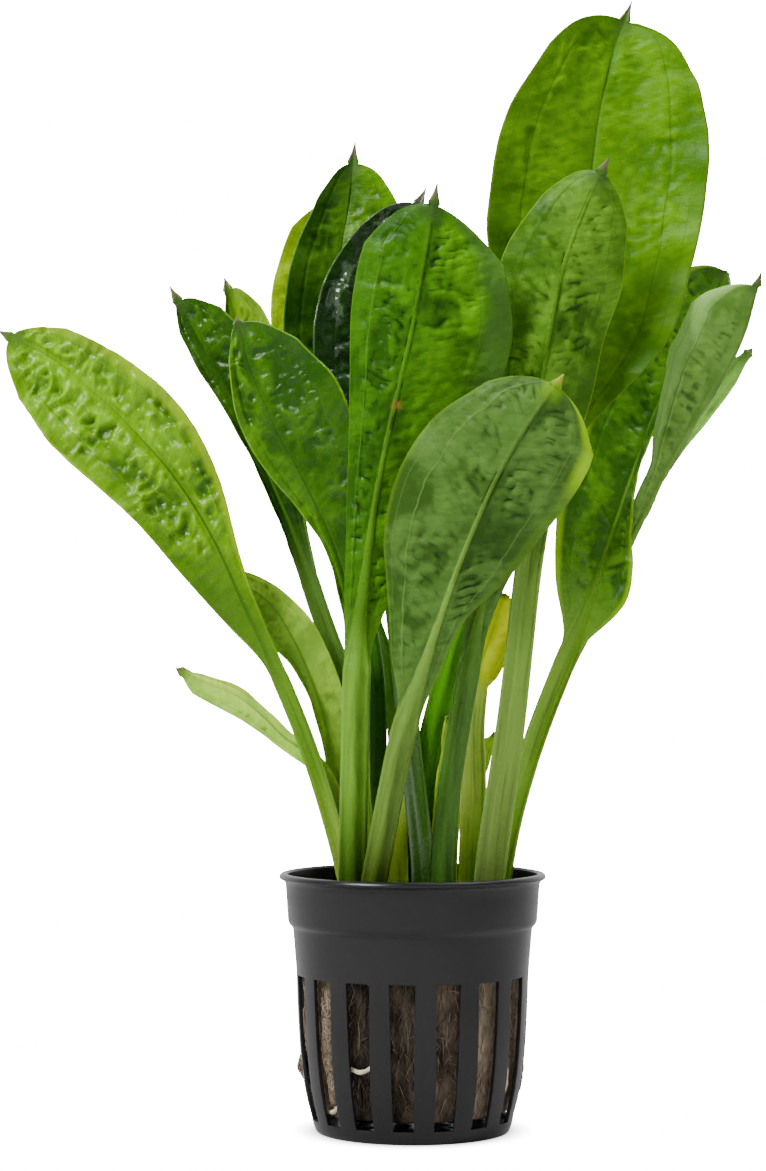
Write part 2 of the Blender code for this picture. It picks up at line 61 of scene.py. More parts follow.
def deselect() -> None:
    """Leave nothing selected, so that an operator touches only what is added next."""
    if bpy.context.object and bpy.context.object.mode != "OBJECT":
        bpy.ops.object.mode_set(mode="OBJECT")
    bpy.ops.object.select_all(action="DESELECT")


def apply_all(obj: bpy.types.Object) -> None:
    """Apply every modifier of one object, top to bottom."""
    deselect()
    obj.select_set(True)
    bpy.context.view_layer.objects.active = obj
    for modifier in list(obj.modifiers):
        bpy.ops.object.modifier_apply(modifier=modifier.name)


def settle(obj: bpy.types.Object) -> None:
    """Put the object's place into its mesh, so that it sits at the origin unturned and unscaled."""
    deselect()
    obj.select_set(True)
    bpy.context.view_layer.objects.active = obj
    bpy.ops.object.transform_apply(location=True, rotation=True, scale=True)


def join(objects: list[bpy.types.Object], name: str) -> bpy.types.Object:
    """Join mesh objects into the first one.

    Args:
        objects: the meshes to join.
        name: the joined object's name.

    Returns:
        The joined object.
    """
    deselect()
    for obj in objects:
        obj.select_set(True)
    bpy.context.view_layer.objects.active = objects[0]
    bpy.ops.object.join()
    joined = bpy.context.object
    joined.name = joined.data.name = name
    return joined


def vertices_of(mesh: bpy.types.Mesh) -> Array:
    """The mesh's points as an array of rows."""
    flat = np.empty(len(mesh.vertices) * 3)
    mesh.vertices.foreach_get("co", flat)
    return flat.reshape(-1, 3)


def place_vertices(mesh: bpy.types.Mesh, points: Array) -> None:
    """Move the mesh's points, given in metres."""
    mesh.vertices.foreach_set("co", points.astype(np.float32).ravel())
    mesh.update()


def add_attribute(mesh: bpy.types.Mesh, name: str, values: Array) -> None:
    """Store one vector or one number for each point, for the material to read."""
    kind, key = ("FLOAT_VECTOR", "vector") if values.ndim == 2 else ("FLOAT", "value")
    layer = mesh.attributes.new(name, kind, "POINT")
    layer.data.foreach_set(key, values.astype(np.float32).ravel())


def smooth(value: Array | float, low: float, high: float) -> Array:
    """Rise from 0 at low to 1 at high, with no corner at either end."""
    share = np.clip((np.asarray(value, float) - low) / (high - low), 0, 1)
    return share * share * (3 - 2 * share)


def lattice(i: Array, j: Array, seed: float) -> Array:
    """A repeatable random number from 0 to 1 at whole-numbered places."""
    value = np.sin(i * 127.1 + j * 311.7 + seed * 74.7) * 43758.5453
    return value - np.floor(value)


def mottle(x: Array, y: Array, seed: float) -> Array:
    """Soft random hills from -1 to 1, about one unit apart."""
    i, j = np.floor(x), np.floor(y)
    u, v = x - i, y - j
    u, v = u * u * (3 - 2 * u), v * v * (3 - 2 * v)
    low = lattice(i, j, seed) * (1 - u) + lattice(i + 1, j, seed) * u
    high = lattice(i, j + 1, seed) * (1 - u) + lattice(i + 1, j + 1, seed) * u
    return (low * (1 - v) + high * v) * 2 - 1


def curve_through(points: Array, count: int) -> Array:
    """Evenly spaced places on the smooth curve through the points.

    Args:
        points: one row for each point, in order.
        count: how many places to return.

    Returns:
        The places, one row each.
    """
    ends = np.vstack([2 * points[0] - points[1], points, 2 * points[-1] - points[-2]])
    t = (np.arange(20) / 20)[:, None]
    fine = []
    for a, b, c, d in zip(ends, ends[1:], ends[2:], ends[3:]):
        fine.append(0.5 * (2 * b + (c - a) * t + (2 * a - 5 * b + 4 * c - d) * t**2
                           + (3 * b - a - 3 * c + d) * t**3))
    line = np.vstack([*fine, points[-1:]])
    gone = np.concatenate([[0], np.cumsum(np.linalg.norm(np.diff(line, axis=0), axis=1))])
    wanted = np.linspace(0, gone[-1], count)
    return np.column_stack([np.interp(wanted, gone, line[:, k]) for k in range(points.shape[1])])


def unit(rows: Array) -> Array:
    """Each row at length one."""
    return rows / np.maximum(np.linalg.norm(rows, axis=1, keepdims=True), 1e-12)


# Materials


class Shader:
    """A small hand for wiring a Principled material."""

    def __init__(self, name: str) -> None:
        """Start a material with only a Principled shader and its output."""
        self.material = bpy.data.materials.new(name)
        self.material.use_nodes = True
        self.tree = self.material.node_tree
        self.principled = self.tree.nodes["Principled BSDF"]

    def add(self, kind: str, **settings: object) -> bpy.types.Node:
        """Add a node of this kind with its settings."""
        node = self.tree.nodes.new(kind)
        for key, value in settings.items():
            setattr(node, key, value)
        return node

    def put(self, socket: bpy.types.NodeSocket, value: object) -> None:
        """Link a socket into another, or set its constant."""
        if isinstance(value, bpy.types.NodeSocket):
            self.tree.links.new(value, socket)
        elif isinstance(value, tuple) and len(value) == 3 and socket.type == "RGBA":
            socket.default_value = (*value, 1)
        else:
            socket.default_value = value

    def math(self, operation: str, first: object, second: object = 0.0) -> bpy.types.NodeSocket:
        """One step of arithmetic, held between 0 and 1 only where the operation says so."""
        node = self.add("ShaderNodeMath", operation=operation)
        self.put(node.inputs[0], first)
        self.put(node.inputs[1], second)
        return node.outputs[0]

    def ramp(self, value: object, low: float, high: float, out: Ends = (0.0, 1.0)) -> bpy.types.NodeSocket:
        """A smooth rise from out[0] at low to out[1] at high."""
        node = self.add("ShaderNodeMapRange", interpolation_type="SMOOTHSTEP")
        for socket, entry in zip(node.inputs[:5], (value, low, high, *out)):
            self.put(socket, entry)
        return node.outputs[0]

    def mix(self, share: object, first: object, second: object, blend: str = "MIX") -> bpy.types.NodeSocket:
        """Mix two colours by a share."""
        node = self.add("ShaderNodeMix", data_type="RGBA", blend_type=blend)
        self.put(node.inputs[0], share)
        self.put(node.inputs[6], first)
        self.put(node.inputs[7], second)
        return node.outputs[2]

    def noise(self, where: object, scale: float, detail: float = 3.0, rough: float = 0.55) -> bpy.types.NodeSocket:
        """Noise at a place, from 0 to 1."""
        node = self.add("ShaderNodeTexNoise")
        self.put(node.inputs["Vector"], where)
        self.put(node.inputs["Scale"], scale)
        self.put(node.inputs["Detail"], detail)
        self.put(node.inputs["Roughness"], rough)
        return node.outputs[0]

    def place(self) -> bpy.types.NodeSocket:
        """The object's own coordinates."""
        return self.add("ShaderNodeTexCoord").outputs["Object"]

    def attribute(self, name: str) -> bpy.types.Node:
        """A mesh attribute's node."""
        return self.add("ShaderNodeAttribute", attribute_name=name)

    def split(self, vector: object) -> list[bpy.types.NodeSocket]:
        """The three parts of a vector."""
        node = self.add("ShaderNodeSeparateXYZ")
        self.put(node.inputs[0], vector)
        return list(node.outputs)

    def gather(self, x: object, y: object, z: object = 0.0) -> bpy.types.NodeSocket:
        """A vector from three parts."""
        node = self.add("ShaderNodeCombineXYZ")
        for socket, entry in zip(node.inputs, (x, y, z)):
            self.put(socket, entry)
        return node.outputs[0]

    def bump(self, height: object, strength: float, distance: float) -> None:
        """Roughen the surface by a height."""
        node = self.add("ShaderNodeBump")
        self.put(node.inputs["Height"], height)
        self.put(node.inputs["Strength"], strength)
        self.put(node.inputs["Distance"], distance)
        self.put(self.principled.inputs["Normal"], node.outputs[0])

    def surface(self, **values: object) -> bpy.types.Material:
        """Set the shader's sockets by name, with underscores for spaces, and return the material."""
        for name, value in values.items():
            self.put(self.principled.inputs[name.replace("_", " ")], value)
        return self.material


@dataclass(frozen=True)
class Mark:
    """A blemish on a leaf: where it is in millimetres, how far it reaches, and its colour."""

    centre: Point
    reach: float
    colour: Colour
    strength: float = 0.7


@dataclass(frozen=True)
class LeafFinish:
    """How one leaf is coloured.

    deep, mid, lit: the darker blade tone, which also paints shade in the hollows, the blade's colour, and the painted
    light that shines through
    margin: the colour along the edge, and how far in it reaches
    rib, stalk, stalk_foot: the colours of the midrib, of the stalk and of the stalk at the pot
    vein: the colour of the fine veins beside the margin
    margin_from: between which shares of the blade the margin's colour sets in
    margin_lean: how much wider, and sooner, the margin's colour is on the right half than on the left
    margin_strength: how much of the margin's colour shows
    outer, outer_share: the colour outside the long veins, partly painted light on the margin, and how strong it is left
    and right
    stroke, shine: how strong the dark strokes of painted shade in the creases are, and the surface's reflection
    tip, point: the colours of the narrow tip's foot and of its end
    glow: where the painted light shining through gains, as (share of the blade, towards the right edge)
    """

    deep: Colour
    mid: Colour
    lit: Colour
    margin: Colour
    rib: Colour
    stalk: Colour
    stalk_foot: Colour
    glow: Ends = (0.35, 0.0)
    tip: Colour = (0.05, 0.11, 0.02)
    point: Colour = (0.15, 0.14, 0.07)
    vein: Colour = (0.03, 0.1, 0.004)
    margin_width: float = 0.03
    margin_from: Ends = (0.02, 0.12)
    margin_lean: float = 0.0
    margin_strength: float = 0.55
    outer: Colour = (0.08, 0.18, 0.035)
    outer_share: Ends = (0.0, 0.0)
    stroke: float = 0.6
    shine: float = 0.16
    rough: float = 0.33
    vein_shade: float = 0.35
    marks: tuple[Mark, ...] = ()

    def dress(self, name: str) -> bpy.types.Material:
        """Wire the leaf's material: blotches with painted shade in the hollows, painted light shining through with
        painted highlights on the swellings, painted shade in the creases, veins, margin, midrib, stalk, tip and marks.
        """
        s = Shader(name)
        across, share, ribs = s.split(s.attribute("leaf_place").outputs["Vector"])
        relief, along, out = s.split(s.attribute("leaf_skin").outputs["Vector"])
        where = s.place()
        edge = s.math("ABSOLUTE", across)
        # Blotches: random tone, darker as painted shade in the hollows of the relief and lighter on its swellings.
        blotch = s.math("ADD", s.noise(where, 85, 4), s.math("MULTIPLY", s.math("SUBTRACT", relief, 0.5), 0.7))
        blotch = s.math("ADD", blotch, s.math("MULTIPLY", s.math("SUBTRACT", s.noise(where, 420, 3), 0.5), 0.45))
        colour = s.mix(s.ramp(blotch, 0.37, 0.63), self.deep, self.mid)
        # Painted light shining through: the lit colour gains along the blade and to one side by glow, at random, and as
        # a painted highlight on the swellings.
        gain = s.math("MULTIPLY", s.ramp(share, 0.0, 1.0), self.glow[0])
        gain = s.math("ADD", gain, s.math("MULTIPLY", across, self.glow[1]))
        gain = s.math("ADD", gain, s.math("MULTIPLY", s.noise(where, 38, 2), 0.35))
        gain = s.math("ADD", gain, s.math("MULTIPLY", s.math("SUBTRACT", relief, 0.5), 0.55))
        colour = s.mix(s.ramp(gain, 0.1, 0.85), colour, self.lit)
        colour = s.mix(self.cross_veins(s, along, out, share), colour, self.deep)
        # Painted shade in the creases: dark strokes where the relief folds in.
        crease = s.ramp(s.attribute("leaf_crease").outputs["Fac"], 0.05, 0.9, (0.0, self.stroke))
        colour = s.mix(crease, colour, tuple(0.35 * c for c in self.deep))
        # A band outside the long veins: partly the blade's own tone, partly painted light and reflection on the margin.
        for side, strength in ((-1.0, self.outer_share[0]), (1.0, self.outer_share[1])):
            if strength:
                ragged = s.math("MULTIPLY", s.math("SUBTRACT", s.noise(where, 160, 4), 0.5), 0.3)
                ragged = s.math("ADD", s.math("MULTIPLY", across, side), ragged)
                band = s.math("MULTIPLY", s.ramp(ragged, 0.56, 0.82, (0.0, strength)), s.ramp(share, 0.15, 0.45))
                colour = s.mix(band, colour, self.outer)
        colour = s.mix(self.long_veins(s, edge, share, where), colour, self.vein)
        # The margin's colour: the edge's own tone, and on the bright-edged leaves, such as the far-left one, painted
        # light shining through the thin edge.
        lean = s.math("MULTIPLY", across, self.margin_lean)
        inward = s.math("DIVIDE", s.math("SUBTRACT", 1.0, edge), s.math("ADD", lean, 1.0))
        rim = s.ramp(inward, 0.3 * self.margin_width, self.margin_width, (1.0, 0.0))
        begun = s.math("ADD", share, s.math("MULTIPLY", lean, 0.2))
        rim = s.math("MULTIPLY", rim, s.ramp(begun, *self.margin_from, (0.1, self.margin_strength)))
        colour = s.mix(rim, colour, self.margin)
        near = s.math("ABSOLUTE", ribs)
        midrib = s.ramp(near, 0.35, 1.0, (1.0, 0.0))
        fade = s.math("MULTIPLY", s.ramp(share, 0.0, 0.3, (0.4, 0.7)), s.ramp(share, 0.45, 0.88, (1.0, 0.12)))
        colour = s.mix(s.math("MULTIPLY", midrib, fade), colour, self.rib)
        stalk = self.stalk_colour(s, share, ribs, near, along)
        colour = s.mix(s.ramp(share, -0.1, 0.2, (1.0, 0.0)), colour, stalk)
        for mark in self.marks:
            colour = self.blemish(s, mark, where, colour)
        hood = s.math("MULTIPLY", s.ramp(share, 0.94, 1.0), s.ramp(s.math("ABSOLUTE", out), 0.008, 0.03, (0.7, 0.0)))
        colour = s.mix(hood, colour, self.tip)
        colour = s.mix(s.ramp(share, 1.01, 1.07), colour, self.point)
        fine = s.noise(s.gather(s.math("MULTIPLY", along, 160), s.math("MULTIPLY", out, 45)), 1.0, 4, 0.6)
        s.bump(fine, 0.3, 0.0004)
        gloss = s.ramp(s.noise(where, 260, 3), 0.3, 0.7, (self.rough - 0.06, self.rough + 0.1))
        return s.surface(Base_Color=colour, Roughness=gloss, Specular_IOR_Level=self.shine, Subsurface_Weight=0.1,
                         Subsurface_Radius=(0.5, 1.0, 0.12), Subsurface_Scale=0.0012)

    def cross_veins(self, s: Shader, along: object, out: object, share: object) -> bpy.types.NodeSocket:
        """Fine darker lines that leave the midrib and lean towards the tip."""
        lean = s.math("SUBTRACT", along, s.math("MULTIPLY", out, 0.5))
        where = s.gather(s.math("MULTIPLY", lean, 75), s.math("MULTIPLY", out, 16))
        lines = s.ramp(s.noise(where, 1.0, 5, 0.65), 0.42, 0.62)
        shown = s.ramp(share, 0.02, 0.15)
        return s.math("MULTIPLY", s.math("MULTIPLY", lines, shown), self.vein_shade)

    def long_veins(self, s: Shader, edge: object, share: object, where: object) -> bpy.types.NodeSocket:
        """Two pairs of pale veins that run beside the margin."""
        wander = s.math("MULTIPLY", s.math("SUBTRACT", s.noise(where, 130, 2), 0.5), 0.07)
        total = None
        for centre, strength in ((0.66, 0.6), (0.87, 0.25)):
            away = s.math("ABSOLUTE", s.math("ADD", s.math("SUBTRACT", edge, centre), wander))
            line = s.ramp(away, 0.002, 0.012, (strength, 0.0))
            total = line if total is None else s.math("ADD", total, line)
        return s.math("MULTIPLY", total, s.ramp(share, 0.0, 0.1))

    def stalk_colour(self, s: Shader, share: object, ribs: object, near: object,
                     along: object) -> bpy.types.NodeSocket:
        """The stalk's green: on most leaves darker at the foot as painted shade low among the stalks, with long pale
        and dark streaks and pale edges that are painted highlight and shade along its ridges.
        """
        # Painted highlight and shade: pale and dark streaks along the stalk, and pale edges.
        streaks = s.noise(s.gather(s.math("MULTIPLY", ribs, 1.7), s.math("MULTIPLY", along, 3.0)), 1.0, 3, 0.6)
        up = s.ramp(share, -0.82, -0.3)
        body = s.mix(up, self.stalk_foot, self.stalk)
        dark = s.mix(up, tuple(0.5 * part for part in self.stalk_foot), tuple(0.5 * part for part in self.stalk))
        body = s.mix(s.ramp(streaks, 0.5, 0.68, (0.0, 0.8)), body, dark)
        pale = s.mix(up, tuple(min(1.0, 1.4 * part + 0.005) for part in self.stalk_foot),
                     tuple(min(1.0, 1.5 * part + 0.02) for part in self.stalk))
        body = s.mix(s.ramp(streaks, 0.3, 0.45, (0.5, 0.0)), body, pale)
        return s.mix(s.ramp(near, 0.8, 1.0, (0.0, 0.3)), body, pale)

    def blemish(self, s: Shader, mark: Mark, where: object, colour: object) -> bpy.types.NodeSocket:
        """A soft ragged spot of another colour."""
        away = s.add("ShaderNodeVectorMath", operation="DISTANCE")
        s.put(away.inputs[0], where)
        away.inputs[1].default_value = [part * MM for part in mark.centre]
        ragged = s.math("ADD", away.outputs["Value"], s.math("MULTIPLY", s.noise(where, 900, 3), mark.reach * MM))
        share = s.ramp(ragged, mark.reach * 0.55 * MM, mark.reach * 1.35 * MM, (mark.strength, 0.0))
        return s.mix(share, colour, mark.colour)


@dataclass(frozen=True)
class PlasticFinish:
    """Moulded black plastic with a soft sheen, faint scuffs and a few dark specks."""

    colour: Colour = (0.012, 0.012, 0.013)
    scuffed: Colour = (0.016, 0.016, 0.017)
    speck: Colour = (0.004, 0.004, 0.004)
    rough: float = 0.28

    def dress(self, name: str) -> bpy.types.Material:
        """Wire the plastic."""
        s = Shader(name)
        where = s.place()
        scuff = s.ramp(s.noise(where, 60, 2), 0.2, 0.8)
        colour = s.mix(scuff, self.colour, self.scuffed)
        dots = s.ramp(s.noise(where, 520, 2, 0.5), 0.765, 0.79)
        patch = s.ramp(s.noise(where, 48, 1), 0.56, 0.64)
        colour = s.mix(s.math("MULTIPLY", dots, patch), colour, self.speck)
        grain = s.noise(where, 2600, 2)
        s.bump(grain, 0.06, 0.0002)
        return s.surface(Base_Color=colour, Roughness=self.rough, Specular_IOR_Level=0.3)


@dataclass(frozen=True)
class WoolFinish:
    """Damp mineral wool: tan and brown fibres, each with its own tone."""

    dark: Colour = (0.022, 0.017, 0.012)
    brown: Colour = (0.15, 0.115, 0.08)
    tan: Colour = (0.5, 0.4, 0.28)

    def dress(self, name: str) -> bpy.types.Material:
        """Wire the wool from the tone that each point carries."""
        s = Shader(name)
        tone = s.attribute("wool_tone").outputs["Fac"]
        where = s.place()
        stretched = s.add("ShaderNodeMapping")
        stretched.inputs["Scale"].default_value = (1500, 1500, 260)
        s.put(stretched.inputs["Vector"], where)
        streak = s.noise(stretched.outputs[0], 1.0, 4, 0.65)
        tone = s.math("ADD", tone, s.math("MULTIPLY", s.math("SUBTRACT", streak, 0.5), 0.7))
        colour = s.mix(s.ramp(tone, 0.05, 0.5), self.dark, self.brown)
        colour = s.mix(s.ramp(tone, 0.45, 1.0), colour, self.tan)
        s.bump(streak, 0.6, 0.0005)
        return s.surface(Base_Color=colour, Roughness=0.9, Specular_IOR_Level=0.25)


@dataclass(frozen=True)
class RootFinish:
    """A cream root with a brownish bloom."""

    cream: Colour = (0.78, 0.70, 0.50)
    bloom: Colour = (0.42, 0.30, 0.16)

    def dress(self, name: str) -> bpy.types.Material:
        """Wire the root."""
        s = Shader(name)
        where = s.place()
        share = s.ramp(s.noise(where, 420, 3), 0.45, 0.75, (0.0, 0.6))
        s.bump(s.noise(where, 1500, 3), 0.25, 0.0002)
        return s.surface(Base_Color=s.mix(share, self.cream, self.bloom), Roughness=0.45,
                         Subsurface_Weight=0.15, Subsurface_Radius=(1.0, 0.7, 0.4), Subsurface_Scale=0.001)


@dataclass(frozen=True)
class FloorFinish:
    """A plain pale studio floor that is overlit to white, apart from a painted shadow round the pot's foot, where the
    overlighting fades out.
    """

    colour: Colour = (0.6, 0.6, 0.6)
    white: float = 30.0
    painted_shadow: Ends = (0.017, 0.03)

    def dress(self, name: str) -> bpy.types.Material:
        """Wire the floor, with the faintest unevenness."""
        s = Shader(name)
        where = s.place()
        away = s.add("ShaderNodeVectorMath", operation="LENGTH")
        s.put(away.inputs[0], where)
        # Painted shadow: the glow that only the camera sees fades out near the pot's foot.
        white = s.ramp(away.outputs["Value"], *self.painted_shadow, (0.0, self.white))
        seen = s.math("MULTIPLY", white, s.add("ShaderNodeLightPath").outputs["Is Camera Ray"])
        share = s.noise(where, 6, 2)
        return s.surface(Base_Color=s.mix(share, self.colour, tuple(0.985 * c for c in self.colour)),
                         Roughness=0.75, Specular_IOR_Level=0.2, Emission_Color=(1.0, 1.0, 1.0),
                         Emission_Strength=seen)


# The leaves


class Facing(Enum):
    """Which side of a leaf is turned to the front."""

    UPPER = "upper"
    UNDER = "under"


class Grain(Enum):
    """How finely a leaf is divided: faces from the midrib's edge to the margin, and along the blade."""

    LARGE = (38, 230)
    SMALL = (16, 100)


FRONT = np.array([0.0, -1.0, 0.0])
STATION_STEP = 0.15
LAMINA = 0.5
RIB_FACES = 5
STALK_FACES = 44
SPIKE_FACES = 7
SPIKE_FOOT = 0.9
SPIKE_END = 0.08
SPIKE_PINCH = 1.7
HOOD = 8.0
CLOSER_TO_TIP = 1.45


@dataclass
class Leaf:
    """One leaf with its stalk, in millimetres and degrees.

    spine: points of the midrib from the plug to the tip
    stalk: half the stalk's width
    blade_from: the share of the length at which the blade starts
    left, right: half widths at 15, 30, 45, 60, 75 and 90 % of the blade, seen from the front
    blunt: how each half, left then right, closes after that
    fold: how far both halves rise from the midrib towards the upper side
    cup: how far the margins curl on from there
    roll: how far the right edge turns away from the front, at the blade's start and at the tip
    spike: the length of the narrow tip
    quilt: how high the blade swells between its veins
    ruffle: how far the margin waves
    rib_fade: how fast the midrib thins out along the blade
    crinkle, creased: the shares of irregular ridges and of cross creases in the swelling
    ridge_size: how much larger than usual the irregular ridges are
    even: how strong the swelling stays between its patches
    quilted_from: between which shares of the blade the swelling sets in
    """

    name: str
    spine: tuple[Point, ...]
    stalk: float
    blade_from: float
    left: tuple[float, ...]
    right: tuple[float, ...]
    finish: LeafFinish
    blunt: Ends = (0.5, 0.5)
    fold: float = 8.0
    cup: float = 20.0
    roll: Ends = (0.0, 0.0)
    spike: float = 3.0
    quilt: float = 0.42
    ruffle: float = 0.35
    rib_fade: float = 7.0
    crinkle: float = 0.8
    creased: float = 1.0
    ridge_size: float = 1.0
    even: float = 0.35
    quilted_from: Ends = (0.03, 0.22)
    facing: Facing = Facing.UPPER
    grain: Grain = Grain.LARGE
    seed: float = 1.0
    object: bpy.types.Object | None = field(default=None, init=False)

    def half_width(self, widths: tuple[float, ...], blunt: float, share: Array) -> Array:
        """A half's width along the blade: a smooth curve through the stations, then closing to the tip."""
        last = STATION_STEP * len(widths)
        run = np.array([0.0, 0.0, *widths, widths[-1] * 0.75])
        k = np.clip((share / STATION_STEP).astype(int), 0, len(widths) - 1)
        t = share / STATION_STEP - k
        a, b, c, d = run[k], run[k + 1], run[k + 2], run[k + 3]
        body = 0.5 * (2 * b + (c - a) * t + (2 * a - 5 * b + 4 * c - d) * t**2 + (3 * b - a - 3 * c + d) * t**3)
        end = widths[-1] * np.clip((1 - share) / (1 - last), 0, 1) ** blunt
        return np.where((share <= 0) | (share >= 1), 0.0, np.where(share > last, end, body))

    def rows(self) -> Array:
        """The share of the leaf's length of each row; rows past 1 belong to the spike."""
        blade = self.grain.value[1]
        stalk = self.blade_from * np.arange(STALK_FACES) / STALK_FACES
        inner = 1 - (1 - np.arange(blade + 1) / blade) ** CLOSER_TO_TIP
        return np.concatenate([stalk, self.blade_from + (1 - self.blade_from) * inner])

    def frames(self, at: Array) -> tuple[Array, Array, Array, Array]:
        """Places on the midrib and the directions along it, to the right edge and to the upper side.

        Args:
            at: the rows' shares of the leaf's length.

        Returns:
            Four arrays with a row for each share: place, along, right edge, upper side.
        """
        line = curve_through(np.array(self.spine, float), 600)
        line = self.eased(line)
        slope = unit(np.gradient(line, axis=0))
        steps = at * (len(line) - 1)
        place, along = self.sample(line, steps), unit(self.sample(slope, steps))
        right = unit(np.cross(along, FRONT))
        front = unit(np.cross(right, along))
        share = (at - self.blade_from) / (1 - self.blade_from)
        turned = np.radians((self.roll[0] + (self.roll[1] - self.roll[0]) * share) * smooth(share, -0.4, 0.2))
        edge = right * np.cos(turned)[:, None] - front * np.sin(turned)[:, None]
        normal = front * np.cos(turned)[:, None] + right * np.sin(turned)[:, None]
        return place, along, edge, -normal if self.facing is Facing.UNDER else normal

    def sample(self, rows: Array, steps: Array) -> Array:
        """The rows read at steps between them."""
        return np.column_stack([np.interp(steps, np.arange(len(rows)), rows[:, k]) for k in range(rows.shape[1])])

    def eased(self, line: Array) -> Array:
        """The midrib with the small kinks between its points smoothed, its ends kept."""
        kernel = np.hanning(41)
        kernel /= kernel.sum()
        padded = np.vstack([2 * line[0] - line[20:0:-1], line, 2 * line[-1] - line[-2:-22:-1]])
        return np.column_stack([np.convolve(padded[:, k], kernel, "valid") for k in range(3)])

    def quilting(self, along: Array, out: Array, part: Array, side: Array) -> tuple[Array, Array]:
        """The blade's relief towards the side that faces the front.

        Args:
            along: millimetres from the blade's start.
            out: millimetres from the midrib.
            part: the share of the half width.
            side: -1 on the left half and 1 on the right.

        Returns:
            The swelling, about -1 to 1, and how deep in a crease each point lies, 0 to 1.
        """
        drift = mottle(along / 6.0 + 3 * side, out / 5.0, self.seed)
        fine = mottle(along / 1.9 + 11 * side, out / 2.3, self.seed + 4)
        crease = np.zeros_like(along)
        for pitch, reach, weight, lean in ((2.2, 1.7, 1.0, 0.38), (1.35, 1.1, 0.7, 0.25)):
            rung = (along - lean * out) / pitch + 0.6 * drift + 0.12 * fine + 0.4 * side
            row = np.floor(rung)
            place = out / reach + 31 * side + 3 * lattice(row, side, self.seed)
            depth = smooth(mottle(row, place, self.seed + 9 * pitch), 0.0, 0.85)
            shift = 0.3 * (lattice(row + 17, side, self.seed + 6) - 0.5)
            line = depth * np.exp(-((rung - row - 0.5 - shift) / 0.25) ** 2)
            crease = np.maximum(crease, weight * line * (1 - 0.5 * smooth(out, 3.0, 10.0)))
        broad = mottle(along / 8.0, out / 6.0 + 5 * side, self.seed + 2)
        small = mottle(along / 1.2, out / 1.5 + 7 * side, self.seed + 3)
        run, reach = along / self.ridge_size, out / self.ridge_size
        ridged = 1 - 2 * np.abs(mottle(run / 3.0 + 0.8 * drift, reach / 4.2 + 0.7 * broad, self.seed + 8))
        finer = 1 - 2 * np.abs(mottle(run / 1.5 + 0.5 * fine, reach / 1.9 + 3 * side, self.seed + 10))
        patch = self.even + (1 - self.even) * smooth(mottle(along / 10.0, out / 8.0 + 6 * side, self.seed + 5), -0.6, 0.4)
        shown = smooth(out, 0.3, 1.8) * (1 - 0.7 * smooth(part, 0.62, 0.9))
        crease = crease * shown * patch * self.creased
        rumple = 0.65 * ridged + 0.4 * finer + 0.25 * small
        return shown * (patch * self.crinkle * rumple + 0.15 * small - crease) + 0.6 * broad, crease

    def build(self) -> bpy.types.Object:
        """Add the grid, bend it along the spine, thicken it downwards and dress it."""
        outer, blade = self.grain.value
        columns = 2 * (RIB_FACES + outer)
        at = self.rows()
        count = len(at) - 1 + SPIKE_FACES
        deselect()
        bpy.ops.mesh.primitive_grid_add(x_subdivisions=columns, y_subdivisions=count, size=1)
        obj = bpy.context.object
        obj.name = obj.data.name = f"{self.name}_grown"
        flat = vertices_of(obj.data)
        column = np.rint((flat[:, 0] + 0.5) * columns).astype(int) - columns // 2
        row = np.rint((flat[:, 1] + 0.5) * count).astype(int)
        points, depth, place, skin, crease = self.shape(at, column, row)
        place_vertices(obj.data, points * MM)
        add_attribute(obj.data, "leaf_place", place)
        add_attribute(obj.data, "leaf_skin", skin)
        add_attribute(obj.data, "leaf_crease", crease)
        self.thicken(obj, depth)
        obj.data.materials.append(self.finish.dress(f"{self.name}_skin"))
        deselect()
        obj.select_set(True)
        bpy.ops.object.shade_smooth()
        self.object = obj
        return obj

    def shape(self, at: Array, column: Array, row: Array) -> tuple[Array, ...]:
        """Where each of the grid's points goes.

        Args:
            at: the rows' shares of the leaf's length.
            column: each point's column, counted from the midrib and negative to the left.
            row: each point's row.

        Returns:
            The points and their thicknesses in millimetres, and the three attributes for the material.
        """
        outer = self.grain.value[0]
        place, along, edge, upper = self.frames(at)
        length = np.linalg.norm(np.diff(curve_through(np.array(self.spine, float), 200), axis=0), axis=1).sum()
        share_row = (at - self.blade_from) / (1 - self.blade_from)
        spiked = np.clip(row - (len(at) - 1), 0, SPIKE_FACES) / SPIKE_FACES
        r = np.minimum(row, len(at) - 1)
        share = share_row[r]
        inside = np.clip(share, 0, 1)
        rib = self.stalk * (1 - 0.78 * smooth(inside, 0, 1)) * (1 + 0.12 * smooth(-share, 0.3, 0.9))
        keel = np.minimum(rib, self.stalk * (0.13 + 0.87 * np.exp(-self.rib_fade * inside)))
        left = column < 0
        half = np.where(left, self.half_width(self.left, self.blunt[0], share),
                        self.half_width(self.right, self.blunt[1], share))
        foot = SPIKE_FOOT * (1 - spiked) ** SPIKE_PINCH + SPIKE_END
        rib_here = np.where(share < 1, np.where(share > 0, keel, rib), foot)
        half = np.maximum(np.hypot(np.where(share < 1, rib * (1 - smooth(share, 0.93, 1.0)), 0), half), foot)
        rib_edge = np.minimum(0.62 * half, rib_here)
        steps = np.abs(column)
        distance = np.where(steps <= RIB_FACES, rib_edge * steps / RIB_FACES,
                            rib_edge + (half - rib_edge) * (steps - RIB_FACES) / outer)
        part = distance / np.maximum(half, 1e-6)
        side = np.where(left, -1.0, 1.0)
        shown = smooth(share, 0.0, 0.25)
        rise = np.radians(self.fold * shown + HOOD * smooth(share, 0.86, 1.0))
        curl = np.radians(self.cup) * shown * part
        level = distance * np.cos(rise + curl / 2)
        lift = distance * np.sin(rise + curl / 2)
        run = inside * (1 - self.blade_from) * length
        signed_run = (at[r] - self.blade_from) * length
